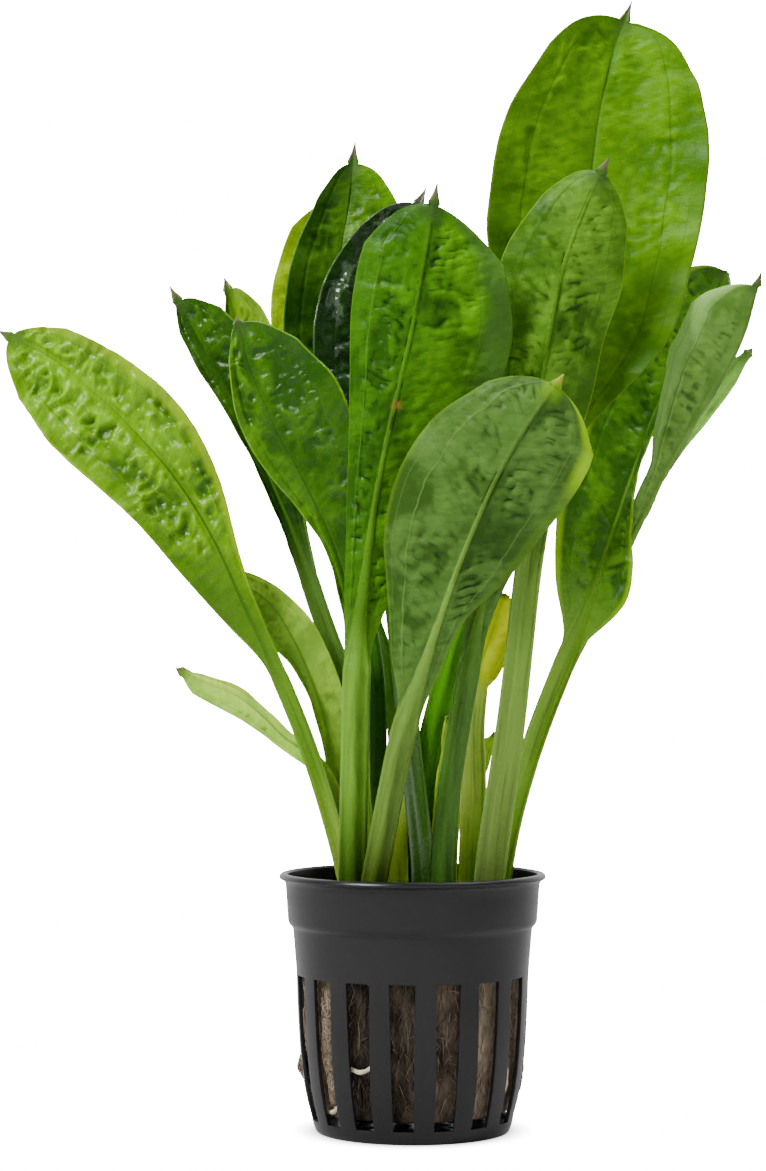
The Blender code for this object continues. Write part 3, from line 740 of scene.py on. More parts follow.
        bulge, crease = self.quilting(run, distance, part, side)
        window = smooth(share, *self.quilted_from) * (1 - smooth(share, 0.94, 1.0))
        wave = np.sin(2 * np.pi * run / 15.0 + 2.1 * side + self.seed) + 0.6 * np.sin(2 * np.pi * run / 8.3 + self.seed)
        front = -1.0 if self.facing is Facing.UNDER else 1.0
        lift = lift + front * self.quilt * bulge * window + self.ruffle * wave * part**3 * window
        rib = np.where(share > 0, keel, rib)
        lift = lift - 0.3 * rib * np.exp(-(distance / (0.7 * rib)) ** 2) * (1 - smooth(share, 0.9, 1.0))
        wander = 0.03 * mottle(run / 9.0, side * 4.0, self.seed + 6)
        lift = lift - 0.2 * np.exp(-(((part - 0.66 - wander) * half) / 0.3) ** 2) * window
        points = place[r] + edge[r] * (level * side)[:, None] + upper[r] * lift[:, None]
        points = points + along[r] * (spiked * self.spike)[:, None]
        depth = self.depth(share, distance, rib, part, spiked)
        # The relief also goes to the material, which paints shade in its hollows and highlights on its swellings.
        relief = np.clip(0.5 + 0.4 * bulge * window, 0, 1)
        skin = np.column_stack([relief, signed_run / 100, distance / 100 * side])
        stalked = np.where(share < 0, share * (1 - self.blade_from) / self.blade_from, share + spiked * 0.1)
        placed = np.column_stack([part * side, stalked, side * np.minimum(distance / rib_here, 6)])
        return points, depth, placed, skin, crease * window

    def depth(self, share: Array, distance: Array, rib: Array, part: Array, spiked: Array) -> Array:
        """How thick the leaf is: a keeled stalk and midrib, and a thin blade with a thinner margin."""
        full = np.maximum(LAMINA, 1.55 * rib * (1 - 0.15 * smooth(share, 0.0, 0.4)))
        full = full * (1 - 0.6 * smooth(share, 0.85, 1.0))
        x = np.clip(distance / (1.08 * rib), 0, 1)
        keel = (1 - x**2) ** 0.8 * (1 + 0.13 * np.cos(4.2 * np.pi * x))
        thin = LAMINA * (1 - 0.45 * smooth(part, 0.8, 1.0) * smooth(share, 0.0, 0.2))
        depth = thin + np.maximum(full - LAMINA, 0) * keel
        return np.where(spiked > 0, (SPIKE_FOOT * (1 - spiked) ** 1.2 + 2 * SPIKE_END), depth)

    def thicken(self, obj: bpy.types.Object, depth: Array) -> None:
        """Give the sheet its thickness point by point, away from the upper side."""
        mesh = obj.data
        if self.facing is Facing.UNDER:
            deselect()
            obj.select_set(True)
            bpy.context.view_layer.objects.active = obj
            bpy.ops.object.mode_set(mode="EDIT")
            bpy.ops.mesh.select_all(action="SELECT")
            bpy.ops.mesh.flip_normals()
            bpy.ops.object.mode_set(mode="OBJECT")
        group = obj.vertex_groups.new(name="thickness")
        weights = depth / depth.max()
        for index, weight in enumerate(weights.tolist()):
            group.add((index,), weight, "REPLACE")
        body = obj.modifiers.new("thickness", "SOLIDIFY")
        body.thickness = float(depth.max()) * MM
        body.offset = -1
        body.vertex_group = "thickness"
        apply_all(obj)
        obj.vertex_groups.clear()
        mesh.update()


FRONT_SKIN = LeafFinish(
    deep=(0.034, 0.09, 0.009), mid=(0.08, 0.18, 0.028), lit=(0.15, 0.32, 0.05), margin=(0.36, 0.68, 0.0005),
    rib=(0.24, 0.45, 0.06), vein=(0.14, 0.29, 0.05), stalk=(0.15, 0.28, 0.04), stalk_foot=(0.045, 0.075, 0.006),
    glow=(0.1, 0.12), shine=0.08, margin_width=0.17, margin_lean=0.65, margin_from=(0.84, 0.95), margin_strength=0.95,
    tip=(0.2, 0.42, 0.004), point=(0.4, 0.42, 0.04), rough=0.4, stroke=0.6,
    marks=(Mark((-5, -16, 68), 1.1, (0.10, 0.05, 0.02), 0.8),))
CENTRE_SKIN = LeafFinish(
    deep=(0.022, 0.095, 0.001), mid=(0.05, 0.18, 0.002), lit=(0.16, 0.5, 0.001), margin=(0.1, 0.26, 0.01),
    rib=(0.11, 0.27, 0.015), vein=(0.1, 0.25, 0.02), stalk=(0.17, 0.37, 0.03), stalk_foot=(0.03, 0.08, 0.002),
    glow=(0.0, 0.42), shine=0.1, outer=(0.07, 0.165, 0.03), outer_share=(0.0, 0.75), rough=0.36,
    marks=(Mark((-3, -14, 140), 2.0, (0.30, 0.17, 0.03)),))
RIGHT_CENTRE_SKIN = LeafFinish(
    deep=(0.035, 0.11, 0.004), mid=(0.1, 0.235, 0.018), lit=(0.19, 0.46, 0.02), margin=(0.24, 0.46, 0.02),
    rib=(0.05, 0.17, 0.005), vein=(0.06, 0.17, 0.01), stalk=(0.08, 0.31, 0.004), stalk_foot=(0.04, 0.17, 0.003),
    glow=(0.2, 0.02), shine=0.1, rough=0.38)
TALL_SKIN = LeafFinish(
    deep=(0.05, 0.165, 0.001), mid=(0.085, 0.225, 0.001), lit=(0.17, 0.42, 0.001), margin=(0.13, 0.19, 0.02),
    rib=(0.035, 0.12, 0.002), vein=(0.035, 0.13, 0.002), stalk=(0.2, 0.37, 0.055), stalk_foot=(0.24, 0.39, 0.07),
    glow=(0.22, 0.0), shine=0.08, rough=0.36)
# The bright margin is painted light shining through the thin edge, and the lit colour is painted light too.
FAR_LEFT_SKIN = LeafFinish(
    deep=(0.04, 0.13, 0.0002), mid=(0.075, 0.19, 0.0002), lit=(0.25, 0.56, 0.0002), margin=(0.33, 0.52, 0.0002),
    margin_width=0.2, margin_lean=0.8, margin_from=(0.2, 0.6), margin_strength=0.6, rib=(0.03, 0.11, 0.002), vein=(0.06, 0.18, 0.002), stalk=(0.13, 0.3, 0.01), stalk_foot=(0.3, 0.5, 0.05),
    glow=(0.4, 0.04), shine=0.24, rough=0.25, stroke=0.25,
    marks=(Mark((-43.7, 6, 127), 1.4, (0.62, 0.2, 0.02)), Mark((-44.6, 6, 130), 1.0, (0.62, 0.25, 0.03)),
           Mark((-41, 6, 122.5), 1.1, (0.55, 0.45, 0.01)), Mark((-41.5, 5, 105), 1.1, (0.6, 0.55, 0.06))))
LOW_LEFT_SKIN = LeafFinish(
    deep=(0.28, 0.52, 0.05), mid=(0.45, 0.8, 0.07), lit=(0.75, 0.98, 0.1), margin=(0.45, 0.7, 0.05),
    rib=(0.2, 0.34, 0.04), stalk=(0.28, 0.46, 0.05), stalk_foot=(0.18, 0.32, 0.03), glow=(0.1, 0.35), rough=0.36)
BENT_LEFT_SKIN = LeafFinish(
    deep=(0.17, 0.34, 0.025), mid=(0.28, 0.52, 0.04), lit=(0.38, 0.64, 0.03), margin=(0.46, 0.68, 0.02),
    rib=(0.09, 0.2, 0.015), vein=(0.12, 0.27, 0.015), stalk=(0.28, 0.48, 0.04), stalk_foot=(0.15, 0.28, 0.02),
    glow=(0.1, 0.2), rough=0.42)
LEFT_BACK_SKIN = LeafFinish(
    deep=(0.008, 0.045, 0.001), mid=(0.022, 0.085, 0.001), lit=(0.08, 0.24, 0.002), margin=(0.18, 0.38, 0.015),
    rib=(0.07, 0.18, 0.01), stalk=(0.12, 0.24, 0.035), stalk_foot=(0.06, 0.13, 0.008), glow=(0.1, 0.0),
    shine=0.2, rough=0.26)
LEFT_FOLDED_SKIN = LeafFinish(
    deep=(0.09, 0.22, 0.004), mid=(0.16, 0.36, 0.003), lit=(0.28, 0.52, 0.004), margin=(0.36, 0.6, 0.015),
    rib=(0.05, 0.13, 0.005), stalk=(0.12, 0.26, 0.03), stalk_foot=(0.06, 0.15, 0.008), glow=(0.25, 0.2),
    outer=(0.045, 0.09, 0.02), outer_share=(0.9, 0.0), rough=0.32)
LEFT_FRONT_SKIN = LeafFinish(
    deep=(0.018, 0.08, 0.001), mid=(0.036, 0.125, 0.001), lit=(0.12, 0.34, 0.003), margin=(0.24, 0.5, 0.002),
    rib=(0.04, 0.14, 0.003), vein=(0.03, 0.11, 0.002), stalk=(0.12, 0.26, 0.02), stalk_foot=(0.06, 0.15, 0.008),
    glow=(0.05, -0.3), shine=0.2, rough=0.26, stroke=0.4)
UPRIGHT_SKIN = LeafFinish(
    deep=(0.014, 0.065, 0.001), mid=(0.03, 0.11, 0.001), lit=(0.12, 0.32, 0.001), margin=(0.09, 0.24, 0.004),
    rib=(0.014, 0.06, 0.001), vein=(0.014, 0.06, 0.001), stalk=(0.05, 0.18, 0.01), stalk_foot=(0.04, 0.13, 0.006),
    glow=(0.2, 0.4), shine=0.12, rough=0.3)
PALE_BACK_SKIN = LeafFinish(
    deep=(0.26, 0.48, 0.001), mid=(0.4, 0.66, 0.001), lit=(0.56, 0.8, 0.002), margin=(0.6, 0.8, 0.02),
    rib=(0.3, 0.5, 0.02), stalk=(0.08, 0.22, 0.01), stalk_foot=(0.3, 0.48, 0.01), glow=(0.3, 0.0), rough=0.36)
DARK_CENTRE_SKIN = LeafFinish(
    deep=(0.005, 0.022, 0.004), mid=(0.014, 0.05, 0.01), lit=(0.06, 0.15, 0.03), margin=(0.08, 0.18, 0.03),
    rib=(0.02, 0.08, 0.01), stalk=(0.06, 0.17, 0.012), stalk_foot=(0.04, 0.12, 0.008), glow=(0.0, 0.0),
    shine=0.8, rough=0.2, stroke=0.3)
# The pale band outside the long veins on the left, and the glow towards the left, are painted light on the lit left
# margin.
RIGHT_FOLDED_SKIN = LeafFinish(
    deep=(0.08, 0.19, 0.02), mid=(0.13, 0.27, 0.04), lit=(0.28, 0.54, 0.07), margin=(0.42, 0.72, 0.12),
    rib=(0.17, 0.34, 0.04), stalk=(0.12, 0.3, 0.02), stalk_foot=(0.08, 0.22, 0.01), glow=(-0.15, -0.25),
    outer=(0.3, 0.55, 0.13), outer_share=(0.85, 0.0), rough=0.4)
RIGHT_SMALL_SKIN = LeafFinish(
    deep=(0.22, 0.5, 0.07), mid=(0.38, 0.8, 0.12), lit=(0.4, 0.8, 0.1), margin=(0.4, 0.66, 0.08),
    rib=(0.14, 0.3, 0.03), stalk=(0.12, 0.3, 0.02), stalk_foot=(0.08, 0.2, 0.01), glow=(0.1, 0.0), rough=0.42)
RIGHT_BACK_SKIN = LeafFinish(
    deep=(0.03, 0.12, 0.001), mid=(0.085, 0.25, 0.002), lit=(0.2, 0.5, 0.002), margin=(0.3, 0.6, 0.002),
    rib=(0.14, 0.31, 0.015), vein=(0.04, 0.14, 0.002), stalk=(0.24, 0.47, 0.035), stalk_foot=(0.17, 0.34, 0.02),
    glow=(0.0, 0.0), margin_width=0.2, margin_strength=0.75, shine=0.2, rough=0.28)
# The young leaf's bright colours are painted light shining through the blade.
YOUNG_SKIN = LeafFinish(
    deep=(0.85, 0.85, 0.001), mid=(0.9, 0.97, 0.001), lit=(0.94, 0.99, 0.001), margin=(0.9, 0.95, 0.004),
    rib=(0.6, 0.75, 0.004), stalk=(0.75, 0.95, 0.17), stalk_foot=(0.55, 0.75, 0.09), glow=(0.2, 0.0), shine=0.03,
    rough=0.4)
SPROUT_SKIN = LeafFinish(
    deep=(0.3, 0.52, 0.03), mid=(0.42, 0.66, 0.04), lit=(0.55, 0.76, 0.06), margin=(0.5, 0.7, 0.06),
    rib=(0.2, 0.38, 0.03), stalk=(0.42, 0.6, 0.06), stalk_foot=(0.3, 0.48, 0.03), glow=(0.1, 0.0), rough=0.4)
HIDDEN_SKIN = LeafFinish(
    deep=(0.05, 0.13, 0.012), mid=(0.09, 0.21, 0.022), lit=(0.13, 0.29, 0.03), margin=(0.16, 0.36, 0.015),
    rib=(0.14, 0.3, 0.03), stalk=(0.085, 0.22, 0.025), stalk_foot=(0.045, 0.13, 0.01), glow=(0.0, 0.0), rough=0.42)


def leaves() -> list[Leaf]:
    """Every leaf, front to back from the viewer's left hand to the right."""
    under = Facing.UNDER
    small = Grain.SMALL
    return [
        Leaf("leaf_front",
             ((-9, -13, 39), (-7, -14, 51), (-4.2, -16, 66), (-1.5, -19, 78.5), (2.4, -22, 91),
              (6.2, -25, 102.5), (11, -28, 115), (16, -31, 126), (21, -34, 134.5), (26, -36, 141.5)),
             2.3, 0.38, (6, 11, 16, 18, 16.5, 11.5), (2.2, 4.2, 9.5, 12.7, 14.8, 14), FRONT_SKIN,
             blunt=(0.5, 0.45), fold=6, cup=26, spike=3, quilt=0.5, facing=under, seed=1),
        Leaf("leaf_centre",
             ((-11.3, -8.5, 39), (-11.4, -9, 55), (-11, -9.5, 75), (-10.4, -10, 95), (-8.8, -11, 109.5),
              (-6.4, -12, 126), (-3, -13.5, 142), (0, -15, 155), (2.4, -16.5, 168), (4, -17.5, 177.5)),
             2.5, 0.36, (2.5, 4.5, 6.7, 9.7, 12.6, 12.5), (4.5, 9, 13.5, 18, 20, 16), CENTRE_SKIN,
             blunt=(0.36, 0.6), fold=6, cup=22, spike=4.4, quilt=0.55, facing=under, seed=2),
        Leaf("leaf_right_centre",
             ((1, 1.5, 39), (1.3, 1.5, 55), (2.5, 1, 70), (5.6, 0, 84), (9.4, -1, 97), (17, -3, 115),
              (22.3, -5, 132.5), (25.7, -7, 149), (29, -9, 167), (33.5, -11, 179.5), (36, -12, 184.5)),
             2.3, 0.47, (3, 6, 9, 11.5, 12.5, 9), (3.5, 8, 10.5, 11, 12.7, 10), RIGHT_CENTRE_SKIN,
             blunt=(0.45, 0.45), cup=24, spike=3.4, facing=under, seed=3),
        Leaf("leaf_tall",
             ((14, -5.5, 39), (15.2, -5.5, 52), (17.2, -5, 66), (19.2, -4, 80), (21, -2, 95), (22.8, 0, 110),
              (26, 2, 128), (30.2, 4, 148.5), (33.8, 6, 171), (36, 8, 191), (38.6, 9, 207.5), (42.2, 10, 218.3)),
             2.5, 0.5, (4, 11.7, 19.7, 20.6, 19.1, 13.2), (9, 19, 21.6, 23.2, 22.6, 18.3), TALL_SKIN,
             blunt=(0.4, 0.3), spike=4.5, cup=18, creased=0.45, seed=4),
        Leaf("leaf_far_left",
             ((-10.9, -1.5, 39), (-14.2, -1, 54), (-20, 1, 73), (-27, 3, 90), (-33.3, 5, 102.5),
              (-39.5, 7, 115.5), (-48, 9, 128.5), (-59, 12, 140.5), (-71, 14, 150.8), (-80.7, 15, 156.1)),
             1.6, 0.36, (4.3, 8.9, 11.3, 13.3, 13.9, 10.8), (1.6, 3.4, 7.5, 10.3, 9.7, 6.9), FAR_LEFT_SKIN,
             blunt=(0.5, 0.6), cup=16, quilt=0.8, crinkle=1.5, creased=0.15, ridge_size=1.35, even=0.85,
             quilted_from=(0.22, 0.45), seed=5),
        Leaf("leaf_low_left",
             ((-12, 3, 39), (-13, 4, 56), (-15.2, 5, 64), (-18, 6, 70), (-21.7, 6.5, 73.5), (-25.3, 7, 76),
              (-29.4, 7, 80), (-34.5, 8, 84), (-40.5, 8.5, 86.5), (-45.7, 9, 89)),
             1.5, 0.4, (1, 1.8, 2.4, 3.3, 3.8, 3), (0.4, 0.8, 1.3, 1.6, 1.9, 1.4), LOW_LEFT_SKIN,
             blunt=(0.7, 0.7), fold=14, cup=10, spike=1.5, grain=small, quilt=0.1, seed=6),
        Leaf("leaf_bent_left",
             ((-11.5, 7, 39), (-12.7, 7.5, 52), (-14.2, 8, 65), (-16.7, 9, 78), (-19.8, 10, 87),
              (-24, 12, 96), (-28.7, 14, 103), (-34, 15.5, 106.5), (-38, 16.5, 107)),
             1.9, 0.42, (0.6, 1.3, 2.4, 5, 6, 4), (4.2, 5, 5.3, 5, 3.6, 2.6), BENT_LEFT_SKIN,
             blunt=(0.55, 0.55), fold=10, grain=small, quilt=0.3, seed=7),
        Leaf("leaf_left_back",
             ((-9.5, 11, 39), (-10.7, 13, 60), (-13, 15, 84), (-18.5, 17, 100.5), (-25, 20, 119),
              (-34.5, 23, 140), (-41, 25, 152), (-48, 28, 164.6)),
             1.8, 0.52, (0.4, 0.9, 1.5, 2.3, 3.1, 3), (2, 5, 8, 9.5, 9.7, 7.5), LEFT_BACK_SKIN,
             blunt=(0.6, 0.5), fold=10, spike=4, creased=0.4, seed=8),
        Leaf("leaf_left_folded",
             ((-4.5, 14, 39), (-8.6, 18, 60), (-12.7, 22, 80), (-15.1, 24, 90), (-18.7, 27, 101), (-24.9, 31, 121),
              (-30.7, 34, 142), (-35.9, 36, 160), (-38.3, 37, 167.9)),
             1.3, 0.5, (1.5, 3, 4.5, 5.5, 5, 2.5), (2, 5, 8, 10.8, 11.8, 9.3), LEFT_FOLDED_SKIN,
             blunt=(0.6, 0.4), fold=32, cup=15, roll=(-10, -14), seed=9),
        Leaf("leaf_left_front",
             ((-7, -3.3, 39), (-8.7, -3, 51), (-10.3, -2.6, 66), (-10.6, -2.8, 85), (-11.2, -3, 98),
              (-13.4, -3, 108), (-17, -2.7, 118), (-22, -2, 128), (-27.5, -1, 138.5), (-31.5, 0, 148),
              (-34.1, 1, 157.2)),
             2.1, 0.42, (0.3, 0.8, 3.2, 5.8, 6.3, 3.8), (2.5, 7, 11.5, 14.5, 15, 11), LEFT_FRONT_SKIN,
             blunt=(0.5, 0.5), cup=18, spike=1.5, quilt=0.36, crinkle=1.3, creased=0.3, seed=10),
        Leaf("leaf_upright_left",
             ((-5.5, 1.5, 39), (-6.2, 1.5, 52), (-7.3, 1.6, 66), (-7.2, 2, 81), (-8.6, 3, 95), (-12.2, 5, 111),
              (-15.3, 8, 131), (-16.3, 11, 151), (-15.3, 13, 167), (-13.3, 15, 179), (-12, 16, 190.9)),
             2.0, 0.44, (3, 6.5, 9, 10, 9.6, 6.8), (3, 6.5, 9, 11, 12, 10.8), UPRIGHT_SKIN,
             blunt=(0.5, 0.4), fold=10, spike=4.6, creased=0.35, seed=11),
        Leaf("leaf_pale_back",
             ((-2.7, -5.9, 39), (-2.9, -4.3, 56), (-2.6, 2.6, 72), (-4.6, 9, 88), (-10.3, 14, 105.5),
              (-14.5, 20, 126), (-17.7, 24, 146), (-18.8, 26, 163), (-17.3, 27, 175.5), (-14.6, 28, 185)),
             1.8, 0.48, (2.5, 6, 8.7, 9.9, 10.3, 8.4), (2.5, 5.5, 8.5, 10, 9, 5), PALE_BACK_SKIN, cup=18, seed=12),
        Leaf("leaf_dark_centre",
             ((1.8, -7.5, 39), (2.1, -7.5, 50), (1, -7, 62), (-0.5, -6, 75), (-2.5, -3, 95), (-5, 0, 118),
              (-7, 3, 140), (-6.2, 5, 160.5), (-1.7, 5, 175), (1, 5, 181)),
             2.0, 0.45, (3, 7, 11, 13, 12.6, 9), (3, 6, 9, 11, 10.5, 7), DARK_CENTRE_SKIN,
             spike=3.8, quilt=0.9, crinkle=1.4, creased=0.5, seed=13),
        Leaf("leaf_right_folded",
             ((16.5, 9.5, 39), (18.3, 10.5, 52), (20.8, 12, 63), (25.7, 14.5, 78), (32, 17.5, 93.5),
              (39, 18.5, 106.5), (45.7, 16, 119), (51.8, 10.5, 131.5), (57.8, 5, 142.3), (63.5, 1, 152.7),
              (67, -2, 164)),
             1.6, 0.5, (0.5, 2.2, 4.5, 8.5, 11.5, 11.3), (1, 2, 2.5, 3, 2.5, 1.5), RIGHT_FOLDED_SKIN,
             blunt=(0.45, 0.6), fold=40, cup=12, roll=(40, 40), facing=under, quilt=0.25, seed=14),
        Leaf("leaf_right_small",
             ((12.5, 14.5, 39), (15.5, 15, 49), (19.3, 16, 60), (26.3, 19, 79), (33.7, 22, 95), (40.2, 22, 108.5),
              (45.5, 19.5, 120.5), (50.6, 15.5, 130.5), (56, 12.5, 139.5), (61.8, 10.5, 146.5), (66.5, 9.5, 152)),
             1.3, 0.55, (0.8, 1.6, 2.4, 3.4, 4, 3), (0.4, 0.8, 1.2, 2, 3, 2.2), RIGHT_SMALL_SKIN,
             blunt=(0.7, 0.7), fold=20, cup=10, spike=1.5, facing=under, grain=small, quilt=0.15, seed=15),
        Leaf("leaf_right_back",
             ((14.5, 1.5, 39), (17.5, 2, 52), (19.7, 3, 62), (24.2, 4.5, 76), (28.9, 6, 88), (33.4, 7, 99),
              (38.3, 10.5, 112.5), (43.7, 17.5, 127.7), (50, 26, 143.5), (58.5, 33, 160), (65, 36, 171.5)),
             2.0, 0.38, (8, 12.6, 13, 13.5, 13.8, 11), (6.8, 3.4, 0.2, 1.5, 5.6, 5), RIGHT_BACK_SKIN,
             blunt=(0.45, 0.5), cup=18, spike=0.6, seed=16),
        Leaf("leaf_young",
             ((11, 6.5, 39), (11.6, 6.5, 52), (12, 6, 65), (12, 6, 78), (13.2, 6, 89), (16.1, 7, 98),
              (18.3, 8, 104)),
             2.1, 0.7, (1.4, 2.6, 3.4, 3.6, 3.2, 2.2), (3, 4.4, 5, 5, 4.4, 3), YOUNG_SKIN,
             blunt=(0.4, 0.4), fold=20, spike=0.5, grain=small, quilt=0.15, seed=17),
        Leaf("leaf_sprout",
             ((7, 3.5, 39), (7.3, 6, 50), (8.2, 10.5, 60), (10.6, 13.5, 68), (13.3, 14, 73), (16.6, 13.5, 76)),
             1.3, 0.55, (1, 1.9, 2.4, 2.4, 2, 1.2), (1, 2.2, 3.2, 3.4, 2.8, 1.6), SPROUT_SKIN,
             blunt=(0.7, 0.7), fold=10, cup=15, spike=1, grain=small, quilt=0.1, seed=18),
        Leaf("leaf_behind_front",
             ((6.2, -9.5, 39), (5.8, -10, 52), (6.8, -10.5, 65), (9.1, -11, 80), (11.8, -12.5, 95),
              (15.1, -14, 110), (18.5, -16, 124), (21.5, -18, 136), (22.5, -19, 140)),
             2.0, 0.5, (2, 5, 7, 7.5, 7, 5), (1, 3, 5.5, 7, 7, 5), HIDDEN_SKIN,
             cup=22, spike=1, facing=under, grain=small, quilt=0.25, seed=19),
        Leaf("leaf_bud",
             ((3.8, -3, 39), (4.5, -3.5, 52), (5.5, -4, 66), (7.2, -4, 80)),
             1.2, 0.5, (0.3, 0.6, 0.8, 0.9, 0.8, 0.5), (0.3, 0.6, 0.8, 0.9, 0.8, 0.5), SPROUT_SKIN,
             blunt=(0.9, 0.9), fold=30, cup=10, spike=1, grain=small, quilt=0.0, seed=20),
    ]


# The pot


def heading(angle: float) -> Vector:
    """The level direction this many degrees round from the front, the +X side first."""
    turn = math.radians(angle)
    return Vector((math.sin(turn), -math.cos(turn), 0))


@dataclass
class NetPot:
    """The slotted pot, in millimetres: a turned wall with a rolled lip, cut by upright slots."""

    height: float = 50.0
    lip_radius: float = 25.98
    foot_radius: float = 18.6
    wall: float = 0.75
    floor: float = 0.9
    ledge: float = 40.0
    slots: int = 16
    first_angle: float = -5.0
    slot_bottom: float = 2.6
    slot_top: float = 30.5
    slot_width: Ends = (5.0, 3.9)
    drains: int = 8
    drain_size: Ends = (2.2, 7.0)
    drain_centre: float = 11.0
    sides: int = 192
    finish: PlasticFinish = field(default_factory=PlasticFinish)

    def outside(self) -> list[Ends]:
        """(radius, height) down the outside from the lip to the foot."""
        top, ledge = self.height, self.ledge
        return [
            (24.75, top - 0.02), (25.15, top), (25.55, top - 0.1), (25.85, top - 0.35),
            (self.lip_radius, top - 0.68), (25.9, top - 0.98), (25.6, top - 1.22), (25.25, top - 1.38),
            (24.95, top - 1.65), (24.75, top - 2.2), (24.62, top - 4), (24.3, ledge + 1.1), (24.2, ledge + 0.55),
            (23.95, ledge + 0.1), (23.6, ledge - 0.25), (23.35, ledge - 0.6), (23.25, ledge - 1.2), (22.95, 35.0),
            (22.62, 31.0), (22.5, 27.0), (22.3, 22.0), (22.1, 18.5), (21.9, 15.5), (21.55, 12.2), (21.1, 9.0),
            (20.45, 5.8), (19.7, 3.0), (19.35, 1.6), (19.05, 0.75), (18.85, 0.3), (self.foot_radius, 0.02),
        ]

    def inside_radius(self, height: float) -> float:
        """The inside radius of the wall at a height."""
        line = [pair for pair in self.outside() if pair[1] <= self.ledge + 1.2]
        heights = [pair[1] for pair in line][::-1]
        radii = [pair[0] for pair in line][::-1]
        return float(np.interp(height, heights, radii)) - self.wall

    def profile(self) -> list[Ends]:
        """The closed half section, from the middle of the inner floor round to the middle of the foot."""
        rise = [(self.inside_radius(z), z) for z in (1.8, 3, 5.8, 9, 12.2, 15.5, 22, 31, 38.6, 39.6, 40.6)]
        throat = [(24.0, 42.5), (24.25, 48.0), (24.4, 49.6)]
        foot = [(0.0, self.floor), (self.foot_radius - 0.4, self.floor), (18.75, 1.15)]
        return [*foot, *rise, *throat, *self.outside(), (18.2, 0.0), (0.0, 0.0)]

    def build(self) -> bpy.types.Object:
        """Turn the section, cut the slots and the drain holes, and round their edges."""
        deselect()
        bpy.ops.mesh.primitive_circle_add(vertices=len(self.profile()) + 1, radius=1)
        pot = bpy.context.object
        pot.name = pot.data.name = "net_pot"
        self.lay_section(pot)
        turn = pot.modifiers.new("turn", "SCREW")
        turn.steps = turn.render_steps = self.sides
        turn.use_merge_vertices = True
        turn.merge_threshold = 0.00001
        apply_all(pot)
        self.face_outwards(pot)
        cutter = join([*self.slot_bars(), *self.drain_bars()], "pot_cutter")
        cut = pot.modifiers.new("slots", "BOOLEAN")
        cut.operation = "DIFFERENCE"
        cut.solver = "EXACT"
        cut.object = cutter
        soften = pot.modifiers.new("soften", "BEVEL")
        soften.width = 0.13 * MM
        soften.segments = 2
        soften.limit_method = "ANGLE"
        soften.angle_limit = math.radians(50)
        apply_all(pot)
        bpy.data.objects.remove(cutter)
        pot.data.materials.clear()
        pot.data.materials.append(self.finish.dress("pot_plastic_satin"))
        deselect()
        pot.select_set(True)
        bpy.context.view_layer.objects.active = pot
        bpy.ops.object.shade_smooth_by_angle(angle=math.radians(35))
        return pot

    def lay_section(self, pot: bpy.types.Object) -> None:
        """Move the ring's points onto the section, and open it at the axis."""
        mesh = pot.data
        section = self.profile()
        bpy.ops.object.mode_set(mode="EDIT")
        bpy.ops.mesh.select_all(action="DESELECT")
        bpy.ops.object.mode_set(mode="OBJECT")
        mesh.vertices[len(section)].select = True
        bpy.ops.object.mode_set(mode="EDIT")
        bpy.ops.mesh.delete(type="VERT")
        bpy.ops.object.mode_set(mode="OBJECT")
        place_vertices(mesh, np.array([(r * MM, 0.0, z * MM) for r, z in section]))

    def face_outwards(self, pot: bpy.types.Object) -> None:
        """Merge what meets at the axis and turn every face outwards."""
        bpy.ops.object.mode_set(mode="EDIT")
        bpy.ops.mesh.select_all(action="SELECT")
        bpy.ops.mesh.remove_doubles(threshold=0.00001)
        bpy.ops.mesh.normals_make_consistent(inside=False)
        bpy.ops.object.mode_set(mode="OBJECT")

    def slot_bars(self) -> list[bpy.types.Object]:
        """Upright bars, narrower at the bottom, one for each slot."""
        tall = self.slot_top - self.slot_bottom
        middle = (self.slot_top + self.slot_bottom) / 2
        bars = []
        for k in range(self.slots):
            angle = self.first_angle + k * 360 / self.slots
            deselect()
            bpy.ops.mesh.primitive_cube_add(size=1)
            bar = bpy.context.object
            points = vertices_of(bar.data)
            width = np.where(points[:, 2] > 0, self.slot_width[0], self.slot_width[1])
            points = np.column_stack([points[:, 0] * width, points[:, 1] * 12, points[:, 2] * tall]) * MM
            place_vertices(bar.data, points)
            spot = (heading(angle) * 22 + Vector((0, 0, middle))) * MM
            bar.matrix_world = Matrix.Translation(spot) @ Matrix.Rotation(math.radians(angle), 4, "Z")
            settle(bar)
            bars.append(bar)
        return bars

    def drain_bars(self) -> list[bpy.types.Object]:
        """Radial bars for the holes in the floor."""
        bars = []
        for k in range(self.drains):
            angle = (k + 0.5) * 360 / self.drains
            deselect()
            bpy.ops.mesh.primitive_cube_add(size=1)
            bar = bpy.context.object
            bar.scale = (self.drain_size[0] * MM, self.drain_size[1] * MM, 6 * MM)
            bar.location = heading(angle) * self.drain_centre * MM
            bar.rotation_euler.z = math.radians(angle)
            settle(bar)
            bars.append(bar)
        return bars


# The wool plug and the roots


